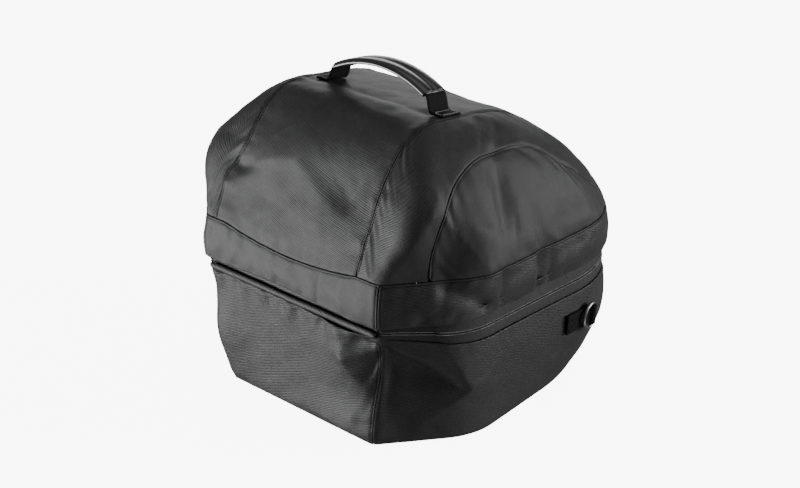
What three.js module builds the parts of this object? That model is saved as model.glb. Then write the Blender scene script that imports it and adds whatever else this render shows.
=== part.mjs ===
// Soft inner bag for a motorcycle top case: a hollow sewn shell with a hinged lid, a zip round three sides,
// a carry handle on top and a D-ring in a webbing tab on each side wall.
// Millimetres, +Z up. X runs across the bag, the hinge front faces -Y, and the origin is the middle of the
// footprint on the floor.
import * as THREE from 'three';
import { mergeVertices } from 'three/addons/utils/BufferGeometryUtils.js';

// Cloth and seams
const WALL = 2;
const SEAM_GAP = 0.6;
const REST_GAP = 0.4;

// Lid and base
const STRIP_HALF = 97;
const LEFT_FLARE = 16;
const STRIP_CROWN = 3;
const STRIP_SEAM = 1;
const FRONT_RIM = 131;
const SIDE_RIM = 117;
const SIDE_RIM_STATION = 4;
const ZIP_TOP = 148;
const ZIP_COIL_SHARE = 0.45;
const TAPE_THICK = 1.2;

// Hinge hem along the front
const HEM_RADIUS = 3.2;
const HEM_HALF_LENGTH = 122;
const HEM_Y = -163.4;
const HEM_Z = 135.4;
const HEM_FLANGE_TOP = 149;
const HEM_FLANGE_SET_BACK = 0.6;

// Carry handle
const HANDLE_X = 5;
const HANDLE_Y = -28;
const STRAP_WIDTH = 28;
const STRAP_THICK = 1.8;
const STRAP_REACH = 90;
const STRAP_SEWN_LENGTH = 14;
const GRIP_HALF_CHORD = 65;
const GRIP_END_HEIGHT = 18;
const GRIP_RISE = 16;
const GRIP_WIDTH = 32;
const GRIP_BELOW = 2.6;
const GRIP_ABOVE = 3.6;
const GRIP_GROOVE = 1.3;
const GRIP_GROOVE_HALF = 2.5;
const GRIP_EDGE_ROUND = 4;
const GRIP_SLOT_CLEARANCE = 0.4;

// D-rings and their tabs
const RING_HEIGHT = 85;
const RING_PLACE = 5.1;
const RING_WIRE = 4;
const RING_INSIDE = 25;
const RING_DEPTH = 18;
const RING_TILT = THREE.MathUtils.degToRad(8);
const TAB_WIDTH = 22;
const TAB_THICK = 3;
const TAB_FRONT = 20;
const TAB_EYE = 22;
const TAB_FOLD = 1.5;
const EYE_CLEARANCE = 0.5;
const BAR_STRAIGHT_SHARE = 0.84;
const BOW_START = 0.05;
const BOW_FULLNESS = 0.8;

// Zip slider on the left front corner
const SLIDER_PLACE = 2.6;
const SLIDER_WIDTH = 9;
const SLIDER_DEPTH = 4;
const SLIDER_ABOVE = 4.5;
const SLIDER_BELOW = 5;
const PULL_LENGTH = 24;
const PULL_THICK = 1.4;

// Plan of the bag at each height. The plan is a six-sided half outline: a front face, a slanted near corner,
// a side, a slanted far corner and a back face.
//   z, zBack      height at the front face and at the back face
//   front, back   y of the front and back faces
//   nearHalf      half width of the front face, nearLean how far its corner sits behind the face
//   nearCut       depth of the slanted near corner
//   side, sideBack  half width at the front end and at the back end of the side
//   farCut, farHalf, farLean  the same for the far corner
//   nearRound     how far the bend at the front face's corner reaches along each side of it
//   frontSag      how far the middle of the front face hangs below its corners
const TIER_COLUMNS = [
  'z', 'zBack', 'front', 'back', 'nearHalf', 'nearLean', 'nearCut',
  'side', 'sideBack', 'farCut', 'farHalf', 'farLean', 'nearRound', 'frontSag',
];
const BASE_TIERS = tiers([
  [0, 0, -148, 146, 102, 0, 84, 162, 142, 64, 112, 0, 7, 0],
  [1.5, 1.5, -152, 150.5, 105.5, 0, 86, 166.5, 147, 64, 117, 0, 7, 0],
  [6, 6, -154, 155, 108, 0, 87, 169, 153, 64, 124, 0, 7, 0],
  [38, 38, -156.5, 164, 112, 0, 86, 172, 166, 62, 139, 0, 7, 0],
  [82, 82, -160, 169, 119, 0, 82, 176, 176, 58, 150, 0, 7, 0],
  [136, 136, -164, 166, 126, 0, 77, 179, 174.5, 55, 147, 0, 7, 0],
  [150, 150, -163, 163.5, 125, 0, 77, 178, 171.5, 55, 145, 0, 7, 0],
]);
const LID_TIERS = tiers([
  [145, 145, -169, 169, 129, 0, 78, 183, 177, 54, 149, 0, 8, -3],
  [166, 166, -170, 170, 130, 0, 80, 189, 182, 54, 149, 0, 9, 4],
  [192, 192, -165, 167, 129, 0, 84, 190, 182, 54, 145, 0, 10, 10],
  [214, 212, -156, 158, 136, 0, 80, 188, 181, 54, 140, 0, 11, 7],
  [245, 240, -142.5, 138, 143, 1, 70, 180, 177, 56, 134, 1, 11, 3],
  [275, 267, -127, 111, 140, 2, 58, 167, 164, 46, 128, 3, 13, 0],
  [300, 290, -108.5, 82, 127, 4, 48, 148, 145, 37, 118, 6, 14, 0],
  [315, 305.5, -90, 55, 113, 7, 38, 127, 125, 28, 108, 9, 14, 0],
  [322.5, 313, -73, 34, 103, 10, 28, 109, 108, 21, 101, 11, 8, 0],
  [324, 316.5, -56, 16, 97, 12, 20, 97, 97, 16, 97, 12, 4, 0],
]);
const BAND_TOP_ROW = 2;
const PLATEAU_ROW = 9;

// Bends of the half outline: reach along each side of the near corner's shoulder and of the two far corners,
// and the largest share of a side that a bend takes
const SHOULDER_ROUND = 30;
const FAR_SHOULDER_ROUND = 34;
const FAR_CORNER_ROUND = 22;
const LONGEST_BEND = 0.42;

// Stations along the half outline, counted in its stretches from 0 at the front middle
const NEAR_SEAM = 1.5;
const FAR_SEAM = 7.5;
const BACK_MIDDLE = 9;

// Arched inset of the lid side, as the line that it shows from the side
const ARCH_LINE = [
  { y: -126, z: 192 }, { y: -121, z: 225 }, { y: -110, z: 252 }, { y: -88, z: 279 },
  { y: -55, z: 294.5 }, { y: -15, z: 296 }, { y: 30, z: 289 }, { y: 62, z: 268 },
  { y: 104, z: 238 }, { y: 142, z: 206 }, { y: 153, z: 192 },
];

function tiers(rows) {
  return rows.map((row) => Object.fromEntries(TIER_COLUMNS.map((name, i) => [name, row[i]])));
}

// Rounds of halving that a value is looked for with
const HALVINGS = 30;

// Smooth value of every column at a row number with a fraction
function tierAt(rows, row) {
  const last = rows.length - 1;
  const at = THREE.MathUtils.clamp(row, 0, last);
  const i = Math.min(Math.floor(at), last - 1);
  const t = at - i;
  const around = [Math.max(i - 1, 0), i, i + 1, Math.min(i + 2, last)].map((k) => rows[k]);
  const tier = {};
  for (const name of TIER_COLUMNS) {
    const [a, b, c, d] = around.map((r) => r[name]);
    const slopeIn = (c - a) / 2;
    const slopeOut = (d - b) / 2;
    const rise = b - c;
    const bend = -3 * rise - 2 * slopeIn - slopeOut;
    const twist = 2 * rise + slopeIn + slopeOut;
    tier[name] = b + t * (slopeIn + t * (bend + t * twist));
  }
  return tier;
}

function rowAtHeight(rows, z) {
  let low = 0;
  let high = rows.length - 1;
  for (let step = 0; step < HALVINGS; step += 1) {
    const middle = (low + high) / 2;
    if (tierAt(rows, middle).z < z) low = middle;
    else high = middle;
  }
  return (low + high) / 2;
}

// Point of the half outline at a station. Even stretches are straight, odd ones are the bends between them.
function outlinePoint(tier, station, startX) {
  const corners = [
    new THREE.Vector2(startX, tier.front),
    new THREE.Vector2(tier.nearHalf, tier.front + tier.nearLean),
    new THREE.Vector2(tier.side, tier.front + tier.nearLean + tier.nearCut),
    new THREE.Vector2(tier.sideBack, tier.back - tier.farLean - tier.farCut),
    new THREE.Vector2(tier.farHalf, tier.back - tier.farLean),
    new THREE.Vector2(startX, tier.back),
  ];
  const reach = [0, tier.nearRound, SHOULDER_ROUND, FAR_SHOULDER_ROUND, FAR_CORNER_ROUND, 0];
  const towards = (from, to) => {
    const length = corners[from].distanceTo(corners[to]);
    const share = length > 0 ? Math.min(reach[from] / length, LONGEST_BEND) : 0;
    return corners[from].clone().lerp(corners[to], share);
  };
  const stretch = Math.min(Math.floor(station), BACK_MIDDLE - 1);
  const t = station - stretch;
  const corner = Math.floor((stretch + 1) / 2);
  if (stretch % 2 === 0) {
    return towards(corner, corner + 1).lerp(towards(corner + 1, corner), t);
  }
  const bend = new THREE.QuadraticBezierCurve(
    towards(corner, corner - 1), corners[corner], towards(corner, corner + 1));
  return bend.getPoint(t);
}

const sagAt = (tier, x) => tier.frontSag * Math.max(0, 1 - (x / STRIP_HALF) ** 2);

// A full outline runs from -9 at the back middle, over 0 at the front middle, to 9. Past 9 it goes on to the
// other half, so that a back panel can cross the middle.
function ringPoint(rows, station, row, startX) {
  const wrapped = station > BACK_MIDDLE ? station - 2 * BACK_MIDDLE : station;
  const tier = tierAt(rows, row);
  const flat = outlinePoint(tier, Math.abs(wrapped), startX);
  const share = (flat.y - tier.front) / (tier.back - tier.front);
  const sag = Math.abs(wrapped) < NEAR_SEAM ? sagAt(tier, flat.x) : 0;
  const z = THREE.MathUtils.lerp(tier.z, tier.zBack, share) - sag;
  return new THREE.Vector3(wrapped < 0 ? -flat.x : flat.x, flat.y, z);
}

// A surface has a point at two numbers, the steps that its normals are taken with, and a test for the
// strip's seams
const ringSurface = (rows) => ({
  at: (station, row) => ringPoint(rows, station, row, 0),
  onSeam: () => false,
  step: [0.01, 0.01],
});
const baseSurface = ringSurface(BASE_TIERS);
const bandSurface = ringSurface(LID_TIERS);

// Half width of the strip: it flares towards the foot of its left seam
const FLARE_FULL_ROW = 3.6;
const FLARE_END_ROW = 5;
function seamHalf(hand, row) {
  const flare = 1 - THREE.MathUtils.smoothstep(row, FLARE_FULL_ROW, FLARE_END_ROW);
  return hand < 0 ? STRIP_HALF + LEFT_FLARE * flare : STRIP_HALF;
}
const domeSurface = (hand) => ({
  at: (station, row) => {
    const held = THREE.MathUtils.clamp(station, 0, BACK_MIDDLE);
    const point = ringPoint(LID_TIERS, held, row, seamHalf(hand, row));
    point.x *= hand;
    return point;
  },
  onSeam: (station) => station === 0 || station === BACK_MIDDLE,
  step: [0.01, 0.01],
});

// The top strip: share runs from -1 to 1 across it, along from 0 at the front, over the flat top, to 1 at the
// back
const SLOPE_SHARE = 0.4;
const SLOPE_ROWS = PLATEAU_ROW - BAND_TOP_ROW;
function stripPoint(share, along) {
  const front = along < 0.5;
  const fromEdge = Math.min(front ? along : 1 - along, SLOPE_SHARE) / SLOPE_SHARE;
  const row = BAND_TOP_ROW + SLOPE_ROWS * fromEdge;
  const tier = tierAt(LID_TIERS, row);
  const x = share * (seamHalf(share, row) - STRIP_SEAM);
  if (along > SLOPE_SHARE && along < 1 - SLOPE_SHARE) {
    const across = (along - SLOPE_SHARE) / (1 - 2 * SLOPE_SHARE);
    const y = THREE.MathUtils.lerp(tier.front, tier.back, across);
    return new THREE.Vector3(x, y, THREE.MathUtils.lerp(tier.z, tier.zBack, across));
  }
  const crown = STRIP_CROWN * (1 - share ** 2) * Math.sin(Math.PI * fromEdge) ** 2;
  const slant = Math.SQRT1_2 * crown;
  if (front) return new THREE.Vector3(x, tier.front - slant, tier.z + slant - sagAt(tier, x));
  return new THREE.Vector3(x, tier.back + slant, tier.zBack + slant);
}
const stripSurface = { at: stripPoint, onSeam: (share) => Math.abs(share) === 1, step: [0.01, 0.004] };

// Outward normal of a surface, from two small steps on it. Along the strip's seams the panels on both sides
// share a normal with no part across the seam.
const BAG_HEART = new THREE.Vector3(0, 0, 150);
function normalAt(surface, a, b) {
  const [stepA, stepB] = surface.step;
  const along = surface.at(a + stepA, b).sub(surface.at(a - stepA, b));
  const up = surface.at(a, b + stepB).sub(surface.at(a, b - stepB));
  const normal = along.cross(up).normalize();
  if (normal.dot(surface.at(a, b).sub(BAG_HEART)) < 0) normal.negate();
  return surface.onSeam(a) ? normal.setX(0).normalize() : normal;
}

// Dents (positive depth) and bulges (negative) of the cloth. Each is a soft hollow round a line through its
// middle, with a way, a reach along that way and a width across it. Side folds hold on both sides of the bag.
const FOLD_COLUMNS = ['x', 'y', 'z', 'wayX', 'wayY', 'wayZ', 'reach', 'width', 'depth'];
const named = (rows) => rows.map((row) => Object.fromEntries(FOLD_COLUMNS.map((name, i) => [name, row[i]])));
const FRONT_FOLDS = named([
  [-116, -158, 58, 0.1, 0, 1, 42, 40, -8],
  [75, -153, 16, 1, 0, 0.2, 50, 26, -7],
  [123, -156, 84, -0.1, 0.03, 1, 38, 22, 11],
  [-93, -140, 251, 1, 0, 0.15, 18, 10, 5],
  [25, -138, 258, 1, 0, -0.2, 60, 22, 3],
]);
const SIDE_FOLDS = named([
  [144, -123, 78, 0.44, 0.79, -0.45, 36, 24, 11],
  [172, -36, 258, 0.35, -0.2, -0.9, 34, 13, 5],
  [166, -108, 211, 0.3, 0.6, 0.3, 22, 17, 4],
  [146, -140, 209, 0.5, 0.5, -0.3, 22, 16, 3],
  [147, -128, 245, 0.15, 0.5, 0.85, 34, 18, -6],
  [182, -92, 176, 0.2, 0.9, -0.2, 18, 12, 3],
  [186, 16, 172, 0, 0, 1, 20, 9, 2.5],
  [166, 78, 50, 0, 1, 0.1, 24, 9, 3],
]);
const FOLD_FREE_HEIGHT = 12;
function foldDepth(point) {
  const side = new THREE.Vector3(Math.abs(point.x), point.y, point.z);
  const depthOf = (fold, at) => {
    const away = at.clone().sub(new THREE.Vector3(fold.x, fold.y, fold.z));
    const way = new THREE.Vector3(fold.wayX, fold.wayY, fold.wayZ).normalize();
    const along = away.dot(way);
    const across = Math.sqrt(Math.max(away.lengthSq() - along ** 2, 0));
    return fold.depth * Math.exp(-((along / fold.reach) ** 2) - (across / fold.width) ** 2);
  };
  const front = FRONT_FOLDS.reduce((sum, fold) => sum + depthOf(fold, point), 0);
  const all = SIDE_FOLDS.reduce((sum, fold) => sum + depthOf(fold, side), front);
  return all * THREE.MathUtils.smoothstep(point.z, 0, FOLD_FREE_HEIGHT);
}

// A cloth wall: a grid of places on a surface, each with an outer and an inner side, closed along its edges.
// The grid's edges are drawn in by half a seam gap.
function clothWall(surface, grid, thickness = WALL) {
  const normals = grid.map((column) => column.map(([a, b]) => normalAt(surface, a, b)));
  const points = grid.map((column, i) => column.map(([a, b], j) => {
    const point = surface.at(a, b);
    return point.addScaledVector(normals[i][j], -foldDepth(point));
  }));
  const wide = points.length;
  const high = points[0].length;
  const drawIn = (edge, next) => {
    const way = next.clone().sub(edge);
    edge.addScaledVector(way.normalize(), SEAM_GAP / 2);
  };
  for (let i = 0; i < wide; i += 1) {
    drawIn(points[i][0], points[i][1]);
    drawIn(points[i][high - 1], points[i][high - 2]);
  }
  for (let j = 0; j < high; j += 1) {
    drawIn(points[0][j], points[1][j]);
    drawIn(points[wide - 1][j], points[wide - 2][j]);
  }
  const positions = [];
  for (const lift of [0, -thickness]) {
    for (let i = 0; i < wide; i += 1) {
      for (let j = 0; j < high; j += 1) {
        positions.push(...points[i][j].clone().addScaledVector(normals[i][j], lift).toArray());
      }
    }
  }
  const outer = (i, j) => i * high + j;
  const inner = (i, j) => wide * high + i * high + j;
  const faces = [];
  const quad = (a, b, c, d) => faces.push([a, b, c], [a, c, d]);
  for (let i = 0; i + 1 < wide; i += 1) {
    for (let j = 0; j + 1 < high; j += 1) {
      quad(outer(i, j), outer(i + 1, j), outer(i + 1, j + 1), outer(i, j + 1));
      quad(inner(i, j), inner(i, j + 1), inner(i + 1, j + 1), inner(i + 1, j));
    }
    quad(outer(i, 0), inner(i, 0), inner(i + 1, 0), outer(i + 1, 0));
    quad(outer(i, high - 1), outer(i + 1, high - 1), inner(i + 1, high - 1), inner(i, high - 1));
  }
  for (let j = 0; j + 1 < high; j += 1) {
    quad(outer(0, j), outer(0, j + 1), inner(0, j + 1), inner(0, j));
    quad(outer(wide - 1, j), inner(wide - 1, j), inner(wide - 1, j + 1), outer(wide - 1, j + 1));
  }
  const m = Math.floor(wide / 2);
  const n = Math.floor(high / 2);
  const acrossGrid = points[m][n].clone().sub(points[m - 1][n]);
  const upGrid = points[m][n].clone().sub(points[m][n - 1]);
  const facesOut = acrossGrid.cross(upGrid).dot(normals[m][n]) > 0;
  const geometry = new THREE.BufferGeometry();
  geometry.setAttribute('position', new THREE.Float32BufferAttribute(positions, 3));
  geometry.setIndex(faces.flatMap((face) => (facesOut ? face : [face[0], face[2], face[1]])));
  return geometry;
}

const gridOf = (columns, rowsAt) => columns.map((column) => rowsAt(column).map((row) => [column, row]));
const spread = (from, to, count) => {
  const step = (to - from) / count;
  return Array.from({ length: count + 1 }, (_, i) => from + step * i);
};
const solid = (geometry) => {
  geometry.deleteAttribute('normal');
  geometry.deleteAttribute('uv');
  return mergeVertices(geometry, 1e-3);
};

// Materials
const nylon = new THREE.MeshStandardMaterial({ color: 0x2c2c2e, roughness: 0.55, metalness: 0 });
const webbing = new THREE.MeshStandardMaterial({ color: 0x17171a, roughness: 0.8, metalness: 0 });
const zipTape = new THREE.MeshStandardMaterial({ color: 0x26262a, roughness: 0.7, metalness: 0 });
const rubber = new THREE.MeshStandardMaterial({ color: 0x111113, roughness: 0.4, metalness: 0 });
const plastic = new THREE.MeshStandardMaterial({ color: 0x0d0d0f, roughness: 0.25, metalness: 0 });
const metal = new THREE.MeshStandardMaterial({ color: 0x1a1a1c, roughness: 0.35, metalness: 0.6 });

const bag = new THREE.Group();
function addPiece(name, geometry, material) {
  const mesh = new THREE.Mesh(geometry, material);
  mesh.name = name;
  bag.add(mesh);
}

// Height of the base's rim: high along the hinge, falling over the slanted corner to the zip's lower edge
function rimHeight(station) {
  const away = BACK_MIDDLE - Math.abs(BACK_MIDDLE - Math.abs(station));
  const fall = THREE.MathUtils.smoothstep(away, NEAR_SEAM, SIDE_RIM_STATION);
  return THREE.MathUtils.lerp(FRONT_RIM, SIDE_RIM, fall);
}
const coilHeight = (station) => THREE.MathUtils.lerp(rimHeight(station), ZIP_TOP, ZIP_COIL_SHARE);

// Base: a floor panel and four walls that turn under to it
const TURN_UNDER_ROW = 2;
const TURN_UNDER_ROWS = 3;
const WALL_ROWS = 6;
const FACE_COLUMNS = 12;
const SIDE_COLUMNS = 24;
function baseRows(station) {
  const top = rowAtHeight(BASE_TIERS, rimHeight(station));
  const turnUnder = spread(0, TURN_UNDER_ROW, TURN_UNDER_ROWS).slice(0, -1);
  return [...turnUnder, ...spread(TURN_UNDER_ROW, top, WALL_ROWS)];
}
const frontColumns = spread(-NEAR_SEAM, NEAR_SEAM, FACE_COLUMNS);
const backColumns = spread(FAR_SEAM, 2 * BACK_MIDDLE - FAR_SEAM, FACE_COLUMNS);
const rightColumns = spread(NEAR_SEAM, FAR_SEAM, SIDE_COLUMNS);
const leftColumns = spread(-FAR_SEAM, -NEAR_SEAM, SIDE_COLUMNS);
addPiece('base_front', clothWall(baseSurface, gridOf(frontColumns, baseRows)), nylon);
addPiece('base_back', clothWall(baseSurface, gridOf(backColumns, baseRows)), nylon);
addPiece('base_side_right', clothWall(baseSurface, gridOf(rightColumns, baseRows)), nylon);
addPiece('base_side_left', clothWall(baseSurface, gridOf(leftColumns, baseRows)), nylon);

const FLOOR_INSET = 1.6;
const FLOOR_STEPS = 18;
function floorPanel() {
  const tier = tierAt(BASE_TIERS, 0);
  const half = spread(0, BACK_MIDDLE, FLOOR_STEPS).map((station) => outlinePoint(tier, station, 0));
  const rim = [...half, ...half.slice(1, -1).reverse().map((p) => new THREE.Vector2(-p.x, p.y))];
  const shrink = (p) => p.clone().multiplyScalar(1 - FLOOR_INSET / p.length());
  const outline = new THREE.Shape(rim.map(shrink));
  return solid(new THREE.ExtrudeGeometry(outline, { depth: WALL, bevelEnabled: false }));
}
addPiece('base_bottom', floorPanel(), nylon);

// Hinge hem: a roll of cloth with a flange that goes up behind the lid band
function hingeHem() {
  const flangeFront = HEM_Y + HEM_FLANGE_SET_BACK;
  const flangeBack = flangeFront + WALL;
  const open = Math.asin((flangeBack - HEM_Y) / HEM_RADIUS);
  const close = Math.asin((flangeFront - HEM_Y) / HEM_RADIUS);
  const section = new THREE.Shape();
  section.moveTo(flangeFront, HEM_FLANGE_TOP);
  section.lineTo(flangeFront, HEM_Z + HEM_RADIUS * Math.cos(close));
  section.absarc(HEM_Y, HEM_Z, HEM_RADIUS, Math.PI / 2 - close, Math.PI / 2 - open + 2 * Math.PI, false);
  section.lineTo(flangeBack, HEM_FLANGE_TOP);
  const length = { depth: 2 * HEM_HALF_LENGTH, bevelEnabled: false, curveSegments: 10 };
  const hem = new THREE.ExtrudeGeometry(section, length);
  const stand = new THREE.Matrix4().makeBasis(
    new THREE.Vector3(0, 1, 0), new THREE.Vector3(0, 0, 1), new THREE.Vector3(1, 0, 0));
  return solid(hem.applyMatrix4(stand).translate(-HEM_HALF_LENGTH, 0, 0));
}
addPiece('hinge_roll', hingeHem(), nylon);

// Zip: two halves of tape from one end of the hinge, round the sides and the back, to the other end
const ZIP_COLUMNS = 44;
const zipColumns = spread(NEAR_SEAM, 2 * BACK_MIDDLE - NEAR_SEAM, ZIP_COLUMNS);
const heightRows = (from, to) => (station) => [from(station), to(station)]
  .map((z) => rowAtHeight(BASE_TIERS, z));
const lowerTape = gridOf(zipColumns, heightRows(rimHeight, coilHeight));
const upperTape = gridOf(zipColumns, heightRows(coilHeight, () => ZIP_TOP));
addPiece('zip_tape_lower', clothWall(baseSurface, lowerTape, TAPE_THICK), zipTape);
addPiece('zip_tape_upper', clothWall(baseSurface, upperTape, TAPE_THICK), zipTape);

// Lid band: it stands proud of the zip and hangs over it
const BAND_ROWS = 3;
const bandRows = () => spread(0, BAND_TOP_ROW, BAND_ROWS);
addPiece('band_front', clothWall(bandSurface, gridOf(frontColumns, bandRows)), nylon);
addPiece('band_back', clothWall(bandSurface, gridOf(backColumns, bandRows)), nylon);
addPiece('band_side_right', clothWall(bandSurface, gridOf(rightColumns, bandRows)), nylon);
addPiece('band_side_left', clothWall(bandSurface, gridOf(leftColumns, bandRows)), nylon);

// Lid top: the strip over the middle, and on each side a domed panel round an arched inset
const STRIP_COLUMNS = 10;
const STRIP_SLOPE_ROWS = 11;
const STRIP_TOP_ROWS = 5;
const stripColumns = spread(-1, 1, STRIP_COLUMNS);
const stripRows = () => [
  ...spread(0, SLOPE_SHARE, STRIP_SLOPE_ROWS),
  ...spread(SLOPE_SHARE, 1 - SLOPE_SHARE, STRIP_TOP_ROWS).slice(1, -1),
  ...spread(1 - SLOPE_SHARE, 1, STRIP_SLOPE_ROWS),
];
addPiece('top_strip', clothWall(stripSurface, gridOf(stripColumns, stripRows)), nylon);

// Place on the dome, as a station and a row, that shows at a given y and z from the side. Row and station are
// found by turns.
const TURNS = 24;
function placeOnDome(y, z) {
  const dome = domeSurface(1);
  const solve = (low, high, below) => {
    let [a, b] = [low, high];
    for (let step = 0; step < HALVINGS; step += 1) {
      const middle = (a + b) / 2;
      if (below(middle)) a = middle;
      else b = middle;
    }
    return (a + b) / 2;
  };
  let station = BACK_MIDDLE / 2;
  let row = BAND_TOP_ROW;
  for (let turn = 0; turn < TURNS; turn += 1) {
    row = solve(BAND_TOP_ROW, PLATEAU_ROW, (r) => dome.at(station, r).z < z);
    station = solve(1, BACK_MIDDLE - 1, (s) => dome.at(s, row).y < y);
  }
  return [station, row];
}
const ARCH_COLUMNS = 20;
const archCurve = new THREE.SplineCurve(ARCH_LINE.map(({ y, z }) => new THREE.Vector2(y, z)));
const archPlaces = archCurve.getSpacedPoints(ARCH_COLUMNS).map((p) => placeOnDome(p.x, p.y));
const [archFront] = archPlaces[0];
const [archBack] = archPlaces[ARCH_COLUMNS];

// Place on the strip's seam, at a share of its way from the front foot over the top to the back foot
function seamPlace(along) {
  if (along < SLOPE_SHARE) return [0, BAND_TOP_ROW + (SLOPE_ROWS * along) / SLOPE_SHARE];
  if (along > 1 - SLOPE_SHARE) return [BACK_MIDDLE, BAND_TOP_ROW + (SLOPE_ROWS * (1 - along)) / SLOPE_SHARE];
  return [(BACK_MIDDLE * (along - SLOPE_SHARE)) / (1 - 2 * SLOPE_SHARE), PLATEAU_ROW];
}
const between = (low, high, count) => spread(0, 1, count)
  .map((t) => low.map((value, i) => THREE.MathUtils.lerp(value, high[i], t)));
const onBand = (from, to, count) => spread(from, to, count).map((station) => [station, BAND_TOP_ROW]);

// The side panel fills from the band and the arch up to the strip's seam, the inset from the band to the arch
const BAND_FOOT = 0.12;
const SEAM_FOOT = 0.02;
const ARCH_FOOT = 0.03;
const FRONT_FOOT_COLUMNS = 5;
const BACK_FOOT_COLUMNS = 4;
const SIDE_ROWS = 7;
const INSET_ROWS = 6;
const archTop = archPlaces.slice(1, -1);
const lowerEdge = [
  ...onBand(BAND_FOOT, archFront, FRONT_FOOT_COLUMNS),
  ...archTop,
  ...onBand(archBack, BACK_MIDDLE - BAND_FOOT, BACK_FOOT_COLUMNS),
];
const upperEdge = spread(SEAM_FOOT, 1 - SEAM_FOOT, lowerEdge.length - 1).map(seamPlace);
const sideGrid = lowerEdge.map((place, i) => between(place, upperEdge[i], SIDE_ROWS));
const insetEdge = onBand(archFront + ARCH_FOOT, archBack - ARCH_FOOT, archTop.length - 1);
const insetGrid = archTop.map((place, i) => between(insetEdge[i], place, INSET_ROWS));
for (const [side, hand] of [['right', 1], ['left', -1]]) {
  addPiece(`side_panel_${side}`, clothWall(domeSurface(hand), sideGrid), nylon);
  addPiece(`arch_panel_${side}`, clothWall(domeSurface(hand), insetGrid), nylon);
}

// Carry handle: webbing sewn flat at both ends, arched through a moulded grip with a groove along its top
const GRIP_RADIUS = (GRIP_HALF_CHORD ** 2 + GRIP_RISE ** 2) / (2 * GRIP_RISE);
const gripHeight = (x) => GRIP_END_HEIGHT + GRIP_RISE - GRIP_RADIUS + Math.sqrt(GRIP_RADIUS ** 2 - x ** 2);

// The strap's middle line, as places across and heights: sewn flat, up the riser, then along the grip
const STRAP_RISER = [[72.6, 2.6], [70.6, 7], [69.4, 11.4], [68, 14.8]];
const STRAP_STEPS = 46;
function strapLine() {
  const sewn = spread(STRAP_REACH, STRAP_REACH - STRAP_SEWN_LENGTH, 2).map((x) => [x, STRAP_THICK / 2]);
  const foot = [...sewn, ...STRAP_RISER];
  const arch = spread(GRIP_HALF_CHORD + 1, -GRIP_HALF_CHORD - 1, 16).map((x) => [x, gripHeight(x)]);
  const otherFoot = foot.map(([x, h]) => [-x, h]).reverse();
  const line = [...foot, ...arch, ...otherFoot];
  return new THREE.SplineCurve(line.map(([x, h]) => new THREE.Vector2(x, h)));
}
function handleStrap() {
  const line = strapLine();
  const edge = (sign) => spread(0, 1, STRAP_STEPS).map((t) => {
    const way = line.getTangent(t);
    return line.getPoint(t).add(new THREE.Vector2(-way.y, way.x).multiplyScalar((sign * STRAP_THICK) / 2));
  });
  const ribbon = new THREE.Shape([...edge(1), ...edge(-1).reverse()]);
  return new THREE.ExtrudeGeometry(ribbon, { depth: STRAP_WIDTH, bevelEnabled: false })
    .translate(0, 0, -STRAP_WIDTH / 2).rotateX(Math.PI / 2);
}
function handleGrip() {
  const half = GRIP_WIDTH / 2;
  const section = new THREE.Shape();
  const flat = half - GRIP_EDGE_ROUND;
  const lobe = half / 2;
  section.moveTo(-half, 0);
  section.quadraticCurveTo(-half, -GRIP_BELOW, -flat, -GRIP_BELOW);
  section.lineTo(flat, -GRIP_BELOW);
  section.quadraticCurveTo(half, -GRIP_BELOW, half, 0);
  section.quadraticCurveTo(half - 1, GRIP_ABOVE, lobe, GRIP_ABOVE);
  section.quadraticCurveTo(GRIP_GROOVE_HALF, GRIP_ABOVE, 0, GRIP_ABOVE - GRIP_GROOVE);
  section.quadraticCurveTo(-GRIP_GROOVE_HALF, GRIP_ABOVE, -lobe, GRIP_ABOVE);
  section.quadraticCurveTo(-half + 1, GRIP_ABOVE, -half, 0);
  const slotHalf = STRAP_WIDTH / 2 + GRIP_SLOT_CLEARANCE;
  const slotRise = STRAP_THICK / 2 + GRIP_SLOT_CLEARANCE;
  section.holes.push(new THREE.Path([
    new THREE.Vector2(-slotHalf, -slotRise), new THREE.Vector2(-slotHalf, slotRise),
    new THREE.Vector2(slotHalf, slotRise), new THREE.Vector2(slotHalf, -slotRise),
  ]));
  const halfTurn = Math.asin(GRIP_HALF_CHORD / GRIP_RADIUS);
  const bar = { depth: 1, steps: 12, bevelEnabled: false, curveSegments: 3 };
  const grip = new THREE.ExtrudeGeometry(section, bar);
  const place = grip.getAttribute('position');
  for (let i = 0; i < place.count; i += 1) {
    const turn = THREE.MathUtils.lerp(-halfTurn, halfTurn, place.getZ(i));
    const radius = GRIP_RADIUS + place.getY(i);
    const height = GRIP_END_HEIGHT + GRIP_RISE - GRIP_RADIUS + radius * Math.cos(turn);
    place.setXYZ(i, radius * Math.sin(turn), place.getX(i), height);
  }
  return grip;
}
const topTier = tierAt(LID_TIERS, PLATEAU_ROW);
const topDepth = topTier.back - topTier.front;
const handleSlope = Math.atan2(topTier.zBack - topTier.z, topDepth);
const handleAlong = SLOPE_SHARE + (1 - 2 * SLOPE_SHARE) * ((HANDLE_Y - topTier.front) / topDepth);
const handleFoot = stripPoint(0, handleAlong);
const setOnTop = (geometry) => solid(geometry.rotateX(handleSlope)
  .translate(HANDLE_X, handleFoot.y, handleFoot.z + REST_GAP));
addPiece('handle_strap', setOnTop(handleStrap()), webbing);
addPiece('handle_grip', setOnTop(handleGrip()), rubber);

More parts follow.
